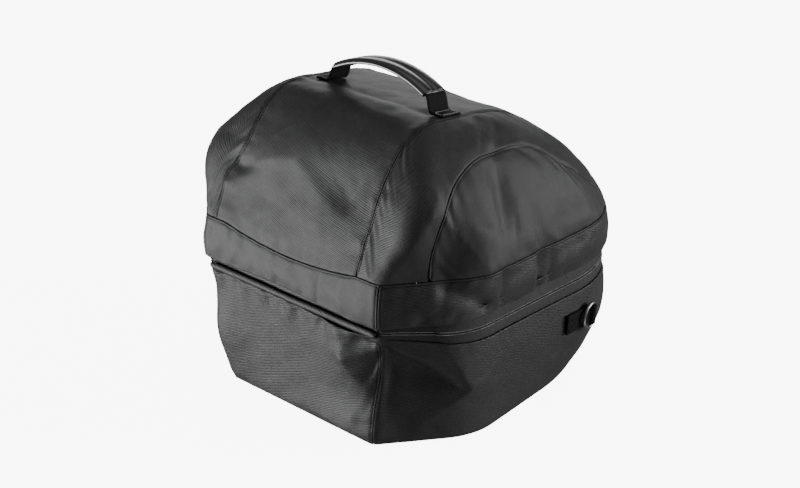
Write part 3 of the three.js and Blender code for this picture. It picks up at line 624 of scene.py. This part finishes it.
STITCH_LIFT = 0.12
bm = bmesh.new()
bmesh.ops.create_uvsphere(bm, u_segments=6, v_segments=4, radius=MM)
one_stitch = mesh_from("one_stitch", bm)


def sew(name, lines, pitch=2.5, long=1.6, wide=1.0, high=0.36):
    """Stitches along several lines of points and normals, as one mesh."""
    bm = bmesh.new()
    for points, normal in lines:
        places, out = evenly(points, normal, pitch)
        if len(places) < 3:
            continue
        along = unit(np.gradient(places, axis=0))
        out = unit(out)
        side = np.cross(out, along)
        for p, a, s, o in zip(places + out * STITCH_LIFT, along, side, out):
            turn = Matrix((s * wide / 2, o * high, a * long / 2)).transposed().to_4x4()
            stitch = one_stitch.copy()
            stitch.transform(Matrix.Translation(Vector(p * MM)) @ turn)
            bm.from_mesh(stitch)
            bpy.data.meshes.remove(stitch)
    mesh = mesh_from(name, bm)
    mesh.shade_smooth()
    return object_from(name, mesh)


def speckled_finish(name, scale, detail, dark, light, roughness, **constants):
    """A finish whose noise runs its colour from a dark grey to a light one and roughens it."""
    material, start, shader = new_finish(name, **constants)
    speckle = start.noise(scale, detail)
    speckle.greys(dark, light).to(shader, "Base Color")
    (speckle * 0.2 + roughness).to(shader, "Roughness")
    return material


thread = speckled_finish(
    "black_thread", 900.0, 2.0, (0.3, 0.003), (0.7, 0.007), 0.65, Specular_IOR_Level=0.15)
base_seams = sew("base_seam_stitches", [
    sewn_line(base_panels[part], side, 2.6) for part in ("front", "back") for side in ("u0", "u1")])
set_piece(base_seams, thread, "nylon")


# Floor panel: a flat piece of the same nylon, sewn in all round where the walls turn under. It is one flat
# sheet on the lowest outline, a little inside the walls.
FLOOR_INSET, FLOOR_SHARE, FLOOR_HEIGHT, FLOOR_WALL = 0.8, 0.994, 0.25, 1.6


def floor_at(u, v):
    plan = plan_at(BASE_PLAN, 0 * u)
    edge = outline(plan, 1 + 7 * v, 0.0)
    x = (2 * u - 1) * (edge[..., 0] - FLOOR_INSET)
    return np.stack([x, edge[..., 1] * FLOOR_SHARE, FLOOR_HEIGHT + 0 * u], -1)


def laid_nylon(name, points, wall, *nodes):
    """A plain nylon sheet with no sewn profile."""
    sheet = place_grid(name, points, own_weave(points))
    give_wall(sheet, wall)
    set_piece(sheet, nylon, "nylon", *nodes)
    return sheet


even = np.linspace(0, 1, 60)
floor_cloth = laid_nylon("base_floor_cloth", spread(floor_at, even, even), FLOOR_WALL, "base_bottom")


# Hinge roll: along the front the base's rim is rolled round a soft cord, with a flange that goes up behind
# the lid band. It is one sheet of nylon turned round the cord, with small puckers from its sewing.
HEM_Y, HEM_Z, HEM_RADIUS, HEM_HALF = -163.4, 135.4, 3.2, 123.0
HEM_START, HEM_TURN, HEM_WALL = 0.52, 5.4, 0.9
FLANGE_SHARE, FLANGE_TOP, FLANGE_BACK = 0.3, 148.5, 1.6


def hem_at(u, v):
    x = (2 * u - 1) * HEM_HALF
    turn = HEM_START + np.clip((v - FLANGE_SHARE) / (1 - FLANGE_SHARE), 0, 1) * HEM_TURN
    end = np.clip((HEM_HALF - np.abs(x)) / 5, 0, 1) ** 0.5
    puckers = crumple(np.stack([x, 0 * x, 0 * x], -1), 24, 8)
    radius = HEM_RADIUS * (0.6 + 0.4 * end) * (1 + 0.05 * puckers)
    wave = 0.5 * crumple(np.stack([x, 0 * x, 9 + 0 * x], -1), 80, 9)
    fall = np.clip(v / FLANGE_SHARE, 0, 1) * (FLANGE_TOP - HEM_Z - HEM_RADIUS * 0.87)
    flange = v < FLANGE_SHARE
    y = np.where(flange, HEM_Y + FLANGE_BACK, HEM_Y + radius * np.sin(turn))
    z = np.where(flange, FLANGE_TOP - fall, HEM_Z + radius * np.cos(turn))
    return np.stack([x, y, z + wave], -1)


hem_u = np.linspace(0, 1, 140)
hem_v = np.concatenate([np.linspace(0, FLANGE_SHARE, 5)[:-1], np.linspace(FLANGE_SHARE, 1, 26)])
hinge_hem = laid_nylon("hinge_roll_cloth", spread(hem_at, hem_u, hem_v), HEM_WALL, "hinge_roll")


# Zip: a reversed coil zip from one end of the hinge round to the other. Two woven tapes meet over the
# hidden coil, whose sewing shows as a fine pale line on each of them.
ZIP_TOP, COIL_SHARE = 148.0, 0.45


def coil_height(station):
    return rim_height(station) + COIL_SHARE * (ZIP_TOP - rim_height(station))


def tape_at(low, high):
    def at(u, v):
        station = NEAR_SEAM + (ALL_ROUND - 2 * NEAR_SEAM) * u
        return ring_point(BASE_PLAN, station, base_row(low(station) + (high(station) - low(station)) * v))
    return at


def zip_top(station):
    return ZIP_TOP + 0 * station


# profile of a tape's edge, which bends up over the coil
coil_lip = (0, 0.7, 1.5, 2.4, 3.2), (-0.7, 0.35, 0.45, 0.1, 0)
tape = cloth_finish("zip_tape_weave", (0.017, 0.017, 0.018), 0.62, 0.0016, 0.0, 0.5, 0.05)
coil_lines = []
for node, low, high, foot_edge, top_edge, coil_side, seed in (
        ("zip_tape_lower", rim_height, coil_height, tucked, coil_lip, "v1", 21),
        ("zip_tape_upper", coil_height, zip_top, coil_lip, plain, "v0", 22)):
    panel = cloth_panel(node + "_weave", tape_at(low, high), {
        "v0": (foot_edge, 0), "v1": (top_edge, 0), "u0": (plain, 0), "u1": (plain, 0)},
        step=3.0, crumples=((60, 0.3),), sink=0.7, wall=1.1, seed=seed)
    set_sheet(panel, tape, "zip_tape", node, "base_side_right_cloth")
    coil_lines.append(sewn_line(panel, coil_side, 1.3))
coil = sew("zip_coil", coil_lines, pitch=1.5, long=1.3, wide=0.9, high=0.3)
coil_finish = speckled_finish(
    "coil_nylon", 60.0, 3.0, (0.3, 0.14), (0.7, 0.24), 0.3, Specular_IOR_Level=0.5)
set_piece(coil, coil_finish, "zip_tape")


# Lid band: a strip of nylon round the lid that stands proud of the zip and hangs over it. Its top edge is
# folded and stitched down over the panels above, and its corners have a lapped seam with a row of stitches
# on each side.
LID_PLAN = np.array([
    [145, 145, -169, 169, 129, 0, 78, 183, 177, 54, 149, 0, 8, -3],
    [166, 166, -170, 170, 130, 0, 80, 189, 182, 54, 149, 0, 9, 4],
    [192, 192, -165, 167, 129, 0, 84, 190, 182, 54, 145, 0, 10, 10],
    [214, 212, -156, 158, 136, 0, 80, 188, 181, 54, 140, 0, 11, 7],
    [245, 240, -142.5, 138, 143, 1, 70, 180, 177, 56, 134, 1, 11, 3],
    [275, 267, -127, 111, 140, 2, 58, 167, 164, 46, 128, 3, 13, 0],
    [300, 290, -108.5, 82, 127, 4, 48, 148, 145, 37, 118, 6, 14, 0],
    [315, 305.5, -90, 55, 113, 7, 38, 127, 125, 28, 108, 9, 14, 0],
    [322.5, 313, -73, 34, 103, 10, 28, 109, 108, 21, 101, 11, 8, 0],
    [324, 316.5, -56, 16, 97, 12, 20, 97, 97, 16, 97, 12, 4, 0],
])
BAND_TOP, PLATEAU = 2.0, 9.0
# profile of the band's turned-under lower edge
hemmed = (0, 0.8, 2, 4), (-1.0, -0.2, 0.1, 0)


def band_at(first, last):
    def at(u, v):
        return ring_point(LID_PLAN, first + (last - first) * u, BAND_TOP * v)
    return at


bands = []
for seed, (part, first, last) in enumerate(SIDES_ROUND, 31):
    panel = cloth_panel(f"band_{part}_cloth", band_at(first, last), {
        "u0": (lapped, 0.3), "u1": (lapped, 0.3), "v0": (hemmed, 0.6), "v1": (lapped, 0.6)},
        crumples=((60, 0.8), (26, 0.35), (12, 0.1)), seed=seed, joined=True)
    set_sheet(panel, nylon, "nylon", f"band_{part}", "top_strip_cloth")
    bands.append(panel)
band_stitches = sew("band_stitches", [
    sewn_line(panel, side, 2.7) for panel in bands for side in ("v1", "u0", "u1")])
set_piece(band_stitches, thread, "nylon")


# Zip facing: inside the bag a strip of the same nylon joins the zip's upper tape and the hinge flange to
# the band, so that the bag is closed all round.
FACING_DROP, FACING_BEND, FACING_TOP = 6, 147, 0.6
FACING_INSET, FACING_WALL = 0.984, 0.8


def facing_at(u, v):
    station = ALL_ROUND * u - NEAR_SEAM
    foot = rim_height(station) - FACING_DROP
    rise = (FACING_BEND - foot) * np.minimum(v / 0.75, 1)
    low = ring_point(BASE_PLAN, station, base_row(foot + rise))
    high = ring_point(LID_PLAN, station, FACING_TOP + 0 * u)
    return (low + (high - low) * np.clip(4 * v - 3, 0, 1)[..., None]) * (FACING_INSET, FACING_INSET, 1)


facing_points = spread(facing_at, np.linspace(0, 1, 260), np.linspace(0, 1, 9))
facing = laid_nylon("zip_facing_cloth", facing_points, FACING_WALL)
facing_length = steps_along(facing_points, 0)[-1].max() * MM


# Top strip: one wide panel of nylon from the front band over the flat top to the back band, with a flat-
# felled seam and a row of stitches on each side. Its left seam flares towards its foot.
SLOPE_SHARE, CROWN = 0.4, 3
FLARE, FLARE_ROW, FLARE_ROWS = 16, 3.6, 1.4


def seam_half(hand, row):
    return STRIP_HALF + np.where(hand < 0, FLARE * (1 - ease((row - FLARE_ROW) / FLARE_ROWS)), 0)


def strip_at(u, v):
    share = 2 * u - 1
    front = v < 0.5
    from_edge = np.minimum(np.where(front, v, 1 - v), SLOPE_SHARE) / SLOPE_SHARE
    row = BAND_TOP + (PLATEAU - BAND_TOP) * from_edge
    plan = plan_at(LID_PLAN, row)
    x = share * seam_half(share, row)
    on_top = np.clip((v - SLOPE_SHARE) / (1 - 2 * SLOPE_SHARE), 0, 1)
    crown = math.sqrt(0.5) * CROWN * (1 - share ** 2) * np.sin(math.pi * from_edge) ** 2
    sag = np.where(front & (on_top == 0), sag_at(plan, x), 0)
    y = plan["front"] + (plan["back"] - plan["front"]) * on_top + np.where(front, -crown, crown)
    z = plan["z"] + (plan["z_back"] - plan["z"]) * on_top + crown - sag
    return np.stack([x, y, z], -1)


strip = cloth_panel("top_strip_cloth", strip_at, {
    "u0": (felled, 0.6), "u1": (felled, 0.6), "v0": (tucked, 0.5), "v1": (tucked, 0.5)}, step=2.6,
    crumples=((85, 0.9), (34, 0.35), (14, 0.1)), seed=41, level=("u0", "u1"))
set_sheet(strip, nylon, "nylon", "top_strip", "band_front_cloth", "band_back_cloth")


# Lid sides: on each side a domed panel of nylon runs from the band up to the strip, round an arched inset
# panel whose folded edge is stitched down over it. The arch is a line of y and z, laid on the dome.
ARCH_LINE = np.array([
    (-126, 192), (-121, 225), (-110, 252), (-88, 279), (-55, 294.5), (-15, 296), (30, 289), (62, 268),
    (104, 238), (142, 206), (153, 192)])
SIDE_TRIM, INSET_TRIM = 0.015, 0.012


def smooth_line(points, count, closed=False):
    """Evenly spaced points on a smooth line through the given ones."""
    ends = (points[-1:], points[:2]) if closed else (points[:1], points[-1:])
    around = np.concatenate([ends[0], points, ends[1]])
    t = np.linspace(0, 1, 40, endpoint=False)[:, None]
    line = []
    for a, b, c, d in zip(around, around[1:], around[2:], around[3:]):
        bend = a - 2.5 * b + 2 * c - d / 2
        line.append(b + t * ((c - a) / 2 + t * (bend + t * (1.5 * (b - c) + (d - a) / 2))))
    line = np.concatenate(line + [around[-2:-1]])
    lengths = steps_along(line, 0)
    at = np.linspace(0, lengths[-1], count)
    return read_at(at, lengths, line)


def dome_point(hand, station, row):
    held = np.clip(station, 0, BACK_MIDDLE)
    return ring_point(LID_PLAN, held, row, seam_half(hand, row)) * (hand, 1, 1)


def place_on_dome(y, z):
    """Station and row of the points of the right dome that show at y and z from the side."""
    def solve(low, high, below):
        low, high = low + 0 * y, high + 0 * y
        for _ in range(24):
            middle = (low + high) / 2
            under = below(middle)
            low, high = np.where(under, middle, low), np.where(under, high, middle)
        return (low + high) / 2
    station, row = 4.5 + 0 * y, BAND_TOP + 0 * y
    for _ in range(20):
        row = solve(BAND_TOP, PLATEAU, lambda r: dome_point(1, station, r)[..., 2] < z)
        station = solve(1.0, 8.0, lambda s: dome_point(1, s, row)[..., 1] < y)
    return np.stack([station, row], -1)


arch_shown = smooth_line(ARCH_LINE, 120)
arch_places = place_on_dome(arch_shown[:, 0], arch_shown[:, 1])
arch_front, arch_back = arch_places[0, 0], arch_places[-1, 0]


def along_line(places, share):
    return read_at(share, np.linspace(0, 1, len(places)), places)


def on_band(first, last, count):
    station = np.linspace(first, last, count)
    return np.stack([station, BAND_TOP + 0 * station], -1)


def seam_place(along):
    rows = PLATEAU - BAND_TOP
    row = BAND_TOP + rows * np.minimum(np.minimum(along, 1 - along) / SLOPE_SHARE, 1)
    station = BACK_MIDDLE * np.clip((along - SLOPE_SHARE) / (1 - 2 * SLOPE_SHARE), 0, 1)
    return np.stack([station, row], -1)


lower_edge = np.concatenate([
    on_band(0.1, arch_front, 40)[:-1], arch_places, on_band(arch_back, 8.9, 34)[1:]])
inset_edge = on_band(arch_front, arch_back, 120)


def between_lines(hand, low, high):
    """A panel of the dome between two lines, each a function of the share of the way along it."""
    def at(u, v):
        place = low(u) + (high(u) - low(u)) * v[..., None]
        return dome_point(hand, place[..., 0], place[..., 1])
    return at


def side_foot(u):
    return along_line(lower_edge, u)


def side_top(u):
    return seam_place(SIDE_TRIM + (1 - 2 * SIDE_TRIM) * u)


def inset_foot(u):
    return along_line(inset_edge, INSET_TRIM + (1 - 2 * INSET_TRIM) * u)


def inset_top(u):
    return along_line(arch_places, INSET_TRIM + (1 - 2 * INSET_TRIM) * u)


lid_lines = [sewn_line(strip, side, 2.4) for side in ("u0", "u1")]
for side, hand, seed in (("right", 1, 51), ("left", -1, 53)):
    panel = cloth_panel(f"side_panel_{side}_cloth", between_lines(hand, side_foot, side_top), {
        "u0": (plain, 0), "u1": (plain, 0), "v0": (tucked, 0.4), "v1": (felled, 0.6)},
        weave=side_weave, seed=seed, level=("v1",))
    set_sheet(panel, nylon, "nylon", f"side_panel_{side}", "top_strip_cloth")
    inset = cloth_panel(f"arch_panel_{side}_cloth", between_lines(hand, inset_foot, inset_top), {
        "v0": (tucked, 0.5), "v1": (lapped, 0.7)}, weave=side_weave, seed=seed + 1)
    set_sheet(inset, nylon, "nylon", f"arch_panel_{side}", f"side_panel_{side}_cloth")
    lid_lines += [sewn_line(panel, "v1", 2.4), sewn_line(inset, "v1", 2.7)]
lid_stitches = sew("lid_stitches", lid_lines)
set_piece(lid_stitches, thread, "nylon")


# Carry handle strap: ribbed black webbing, sewn flat to the top strip at both ends with a box of grey
# stitches and standing up through the moulded grip.
HANDLE_X, HANDLE_Y, HANDLE_Z = 5.0, -28.0, 321.4833
HANDLE_SLOPE = math.radians(-5.947)
GRIP_HALF, GRIP_END, GRIP_RISE = 65.0, 18.0, 16.0
GRIP_RADIUS = (GRIP_HALF ** 2 + GRIP_RISE ** 2) / (2 * GRIP_RISE)
STRAP_WIDE, STRAP_THICK = 28.0, 1.8


def on_top(points):
    """Places points of the handle, given across, back and up from its foot, on the sloping top."""
    turn = np.array(Matrix.Rotation(HANDLE_SLOPE, 3, "X"))
    return points @ turn.T + (HANDLE_X, HANDLE_Y, HANDLE_Z)


# across and up of the strap's sewn end and of its rise into the grip
foot = [(90, 0.9), (83, 0.9), (76, 0.9), (72.6, 2.6), (70.6, 7), (69.4, 11.4), (68, 14.8)]
arch_x = np.linspace(66, -66, 17)
arch = [(x, GRIP_END + GRIP_RISE - GRIP_RADIUS + math.sqrt(GRIP_RADIUS ** 2 - x * x)) for x in arch_x]
strap_line = smooth_line(np.array(foot + arch + [(-x, h) for x, h in foot[::-1]], float), 150)
strap_way = unit(np.gradient(strap_line, axis=0))
strap_up = np.stack([strap_way[:, 1], -strap_way[:, 0]], -1)
across = np.linspace(-1, 1, 15)
strap_top = strap_line + strap_up * STRAP_THICK / 2
strap_points = np.stack(np.broadcast_arrays(
    strap_top[:, None, 0], across * STRAP_WIDE / 2, strap_top[:, None, 1] - 0.25 * np.abs(across) ** 6), -1)
strap_flat = np.stack(np.broadcast_arrays(steps_along(strap_line, 0)[:, None], across * STRAP_WIDE / 2), -1)
strap = place_grid("handle_strap_webbing", on_top(strap_points), strap_flat)
webbing = cloth_finish("black_webbing", (0.005, 0.005, 0.0052), 0.66, 0.0024, 0.9, 0.7, 0.0, 0.1)
give_wall(strap, STRAP_THICK)
set_piece(strap, webbing, "webbing", "handle_strap")


def box_rows(corners, pairs, place, out):
    """Rows of stitches between pairs of a box's corners, as points and normals on a flat place."""
    return [(place(np.array([corners[a], corners[b]])), np.tile(out, (2, 1))) for a, b in pairs]


BOX_OUT, BOX_IN, BOX_HALF, BOX_HEIGHT = 88, 77, 11.5, 1.85
top_up = np.array(Matrix.Rotation(HANDLE_SLOPE, 3, "X")) @ (0, 0, 1)
box_lines = []
for sign in (1, -1):
    corners = [(sign * x, y, BOX_HEIGHT) for x in (BOX_OUT, BOX_IN) for y in (-BOX_HALF, BOX_HALF)]
    box_lines += box_rows(corners, ((0, 1), (2, 3), (0, 2), (1, 3)), on_top, top_up)
strap_stitches = sew("strap_stitches", box_lines, pitch=2.6, long=1.9)
pale_thread = speckled_finish(
    "grey_thread", 900.0, 2.0, (0.3, 0.25), (0.7, 0.4), 0.45, Specular_IOR_Level=0.4)
set_piece(strap_stitches, pale_thread, "webbing")


# Grip: moulded black rubber over the strap, arched, with two rounded lobes, a groove along the middle of
# its top and a thin lip along both lower edges.
GRIP_SECTION = ((0, 2.2), (1.3, 2.5), (3.2, 3.4), (6, 3.9), (9, 3.9), (12, 3.3), (14.2, 2.2), (15.0, 1.2),
                (15.2, 0.7), (16, 0.4), (16.3, -0.3), (16.3, -1.7), (15.6, -2.6), (12, -2.8), (6, -2.7))
SLOT_HALF, SLOT_RISE, GRIP_BEVEL = 14.4, 1.3, 0.7
bm = bmesh.new()
centre = GRIP_END + GRIP_RISE - GRIP_RADIUS
half_turn = math.asin(GRIP_HALF / GRIP_RADIUS)
outer = [*GRIP_SECTION, (0, GRIP_SECTION[-1][1]), *[(-y, h) for y, h in GRIP_SECTION[:0:-1]]]
slot = [(share * SLOT_HALF, rise) for rise in (SLOT_RISE, -SLOT_RISE)
        for share in np.linspace(-1, 1, 9) * rise / SLOT_RISE]


def on_slot(vert):
    return abs(vert.co.y) <= SLOT_HALF and abs(vert.co.length - GRIP_RADIUS) <= SLOT_RISE + 0.01


for section in (outer, slot):
    loop = [bm.verts.new((0, y, GRIP_RADIUS + h)) for y, h in section]
    edges = [bm.edges.new((a, b)) for a, b in zip(loop, loop[1:] + loop[:1])]
    bmesh.ops.rotate(bm, verts=loop, cent=(0, 0, 0), matrix=Matrix.Rotation(-half_turn, 3, "Y"))
    bmesh.ops.spin(bm, geom=loop + edges, cent=(0, 0, 0), axis=(0, 1, 0), dvec=(0, 0, 0),
                   angle=2 * half_turn, steps=40, use_merge=False, use_duplicate=False)
for sign in (1, -1):
    rims = [e for e in bm.edges if e.is_boundary and e.verts[0].co.x * sign > 0]
    bmesh.ops.bridge_loops(bm, edges=rims)
    outside = [e for e in rims if not all(on_slot(v) for v in e.verts)]
    bmesh.ops.bevel(bm, geom=outside, offset=GRIP_BEVEL, segments=3, profile=0.5, affect="EDGES",
                    material=-1)
bmesh.ops.translate(bm, verts=bm.verts, vec=(0, 0, centre))
bmesh.ops.reverse_faces(bm, faces=bm.faces)
mesh = mesh_from("handle_grip_moulding", bm)
move_points(mesh, on_top(places_in(mesh)))
mesh.shade_smooth()
grip = object_from("handle_grip_moulding", mesh)
rubber, start, shader = new_finish("grip_rubber", Specular_IOR_Level=0.6)
haze = start.noise(30.0, 3.0)
grain = start.noise(1500.0, 1.0)
haze.greys((0.3, 0.007), (0.75, 0.014)).to(shader, "Base Color")
(haze * 0.14 + grain * 0.05 + 0.22).to(shader, "Roughness")
pores = {"Strength": 0.08, "Distance": 0.0002, "Height": grain}
start.node("ShaderNodeBump", {}, pores).to(shader, "Normal")
set_piece(grip, rubber, "grip_rubber", "handle_grip")


# Ring tabs: on each side wall a short strip of webbing is doubled back round the ring's bar and sewn down
# with a crossed box of stitches. Each is one sheet along a folded line.
RING_PLACE, RING_HEIGHT = 5.1, 85.0
TAB_FRONT, TAB_EYE, TAB_WIDE, TAB_WALL = 20.0, 22.0, 22.0, 1.3
EYE_OUT, EYE_RADIUS, STITCH_HEIGHT = 4.4, 3.25, 3.4
nudge = np.array([0, 0.01, -0.01, 0, 0])
spot = ring_point(BASE_PLAN, RING_PLACE + nudge, base_row(RING_HEIGHT) + np.roll(nudge, 2))
ring_out = unit(np.cross(spot[1] - spot[2], spot[3] - spot[4]))
ring_up = unit(np.array([0, 0, 1]) - ring_out * ring_out[2])
ring_back = np.cross(ring_up, ring_out)


def on_wall(hand, points):
    """Places points given out from the wall, back along it and up it."""
    return (spot[0] + points @ np.stack([ring_out, ring_back, ring_up])) * (hand, 1, 1)


eye = np.linspace(math.pi, -1.25 * math.pi / 2 - 0.35, 14)
tab_loop = [(EYE_OUT + EYE_RADIUS * math.cos(a), TAB_EYE + EYE_RADIUS * math.sin(a)) for a in eye[1:-2]]
tab_line = smooth_line(np.array([
    (1.15, -TAB_FRONT), (1.15, -8), (1.15, 6), (1.15, 16), *tab_loop,
    (3.2, 16), (2.75, 8), (2.7, -6), (2.7, -TAB_FRONT)]), 90)
tab_box = [(STITCH_HEIGHT, *corner) for corner in ((-18, -9), (-18, 9), (2, 9), (2, -9))]
for side, hand in (("right", 1), ("left", -1)):
    wide = np.linspace(-TAB_WIDE / 2, TAB_WIDE / 2, 13)
    grid = np.stack(np.broadcast_arrays(tab_line[:, None, 0], tab_line[:, None, 1], wide), -1)
    flat = np.stack(np.broadcast_arrays(steps_along(tab_line, 0)[:, None], wide), -1)
    tab = place_grid(f"ring_tab_{side}_webbing", on_wall(hand, grid), flat)
    give_wall(tab, TAB_WALL, 0)
    set_piece(tab, webbing, "webbing", f"ring_tab_{side}")
    rows = box_rows(tab_box, ((0, 1), (1, 2), (2, 3), (3, 0), (0, 2), (1, 3)),
                    lambda points: on_wall(hand, points), ring_out * (hand, 1, 1))
    tab_stitches = sew(f"ring_tab_{side}_stitches", rows, pitch=2.6, long=1.9)
    set_piece(tab_stitches, thread, "webbing")


# D-rings: dark nickel-plated wire bent to a D, its straight bar in the tab's eye and its bow lying forward
# on the tab. Each is a round wire along one closed line.
RING_DEPTH, RING_TILT, HALF_BAR, WIRE_RADIUS = 18.0, math.radians(8), 14.5, 2.0
bar = [(0, share * HALF_BAR) for share in np.linspace(-0.84, 0.84, 7)]
bow = [(RING_DEPTH * math.sin(math.pi * s) ** 0.8, HALF_BAR * math.cos(math.pi * s))
       for s in np.linspace(0.05, 0.95, 13)]
ring_corners = [(EYE_OUT + r * math.sin(RING_TILT), TAB_EYE - r * math.cos(RING_TILT), h)
                for r, h in bar + bow]
ring_line = smooth_line(np.array(ring_corners), 121, closed=True)[:-1]
ring_finish, start, shader = new_finish("dark_nickel_wire", Metallic=1.0, Coat_Roughness=0.1)
scuff = start.noise(160.0, 4.0)
scuff.greys((0.35, 0.16), (0.8, 0.26)).to(shader, "Base Color")
(scuff * 0.2 + 0.26).to(shader, "Roughness")
(scuff * 0.4).to(shader, "Coat Weight")
for side, hand in (("right", 1), ("left", -1)):
    wire = bpy.data.curves.new(f"ring_line_{side}", "CURVE")
    wire.dimensions, wire.bevel_depth, wire.bevel_resolution = "3D", WIRE_RADIUS * MM, 4
    spline = wire.splines.new("POLY")
    spline.points.add(len(ring_line) - 1)
    spline.use_cyclic_u = True
    for point, place in zip(spline.points, on_wall(hand, ring_line) * MM):
        point.co = (*place, 1)
    drawn = object_from(f"ring_line_{side}", wire)
    bpy.context.view_layer.update()
    mesh = bpy.data.meshes.new_from_object(drawn.evaluated_get(bpy.context.evaluated_depsgraph_get()))
    bpy.data.objects.remove(drawn)
    bm = bmesh.new()
    bm.from_mesh(mesh)
    bmesh.ops.remove_doubles(bm, verts=bm.verts, dist=1e-6)
    bm.to_mesh(mesh)
    bm.free()
    mesh.shade_smooth()
    ring = object_from(f"d_ring_{side}_wire", mesh)
    ring.data.materials.clear()
    set_piece(ring, ring_finish, "ring_metal", f"d_ring_{side}", body=f"ring_{side}")


# Zip slider: a small cast slider with a flat pull, at the closed end on the left front corner. It is the
# solid itself, in satin black metal.
slider_finish = speckled_finish(
    "satin_black_metal", 300.0, 4.0, (0.4, 0.018), (0.8, 0.05), 0.28, Metallic=0.6, Specular_IOR_Level=0.5)
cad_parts["zip_slider"].data.materials.clear()
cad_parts["zip_slider"].data.materials.append(slider_finish)


# Stage: a plain pale floor that glows and casts no light on the bag, large soft lights at the front left
# and the back right, weak ones at the back left and low on the right, a soft light overhead, and the camera
# at the front right.
bm = bmesh.new()
bmesh.ops.create_grid(bm, x_segments=1, y_segments=1, size=12)
studio_floor = object_from("studio_floor", mesh_from("studio_floor", bm))
floor_paint, start, shader = new_finish(
    "pale_floor", Roughness=0.9, Specular_IOR_Level=0.1, Emission_Strength=8.0)
shader.inputs["Base Color"].default_value = (0.86, 0.86, 0.86, 1)
shader.inputs["Emission Color"].default_value = (1, 1, 1, 1)
studio_floor.data.materials.append(floor_paint)
studio_floor.visible_glossy = False
studio_floor.visible_diffuse = False
studio_floor.visible_shadow = False

for name, place, size, power, aim in (
        ("front_left", (-1.65, -2.0, -0.24), (1.5, 1.3), 152, (0, 0, 0.15)),
        ("back_right", (1.7, 1.45, 0.6), (1.1, 0.9), 63, (0.05, 0, 0.15)),
        ("back_left", (-1.5, 1.8, 0.9), (1.3, 0.8), 12, (0, 0, 0.3)),
        ("floor_right", (1.4, 0.15, -0.95), (0.6, 0.6), 6, (0.1, 0, 0.1))):
    lamp = bpy.data.lights.new(name, "AREA")
    lamp.shape, lamp.size, lamp.size_y, lamp.energy = "RECTANGLE", *size, power
    light = object_from(name, lamp)
    light.location = place
    light.rotation_euler = (Vector(aim) - Vector(place)).to_track_quat("-Z", "Y").to_euler()
sky = bpy.data.lights.new("overhead", "SUN")
sky.energy, sky.angle = 0.8, math.radians(60)
object_from("overhead", sky)
world = bpy.data.worlds.new("studio")
world.use_nodes = True
background = world.node_tree.nodes["Background"]
background.inputs["Color"].default_value = (1, 1, 1, 1)
background.inputs["Strength"].default_value = 0.165
bpy.context.scene.world = world

CAMERA_TARGET, CAMERA_DISTANCE = Vector((-0.00006, -0.00322, 0.14523)), 1.9374
azimuth, elevation = math.radians(44.05), math.radians(23.89)
level = math.cos(elevation)
back = Vector((math.sin(azimuth) * level, -math.cos(azimuth) * level, math.sin(elevation)))
lens = bpy.data.cameras.new("studio_camera")
lens.lens, lens.sensor_width = 81, 36
camera = object_from("studio_camera", lens)
camera.location = CAMERA_TARGET + back * CAMERA_DISTANCE
camera.rotation_euler = (-back).to_track_quat("-Z", "Y").to_euler()
bpy.context.scene.camera = camera

bpy.context.view_layer.update()
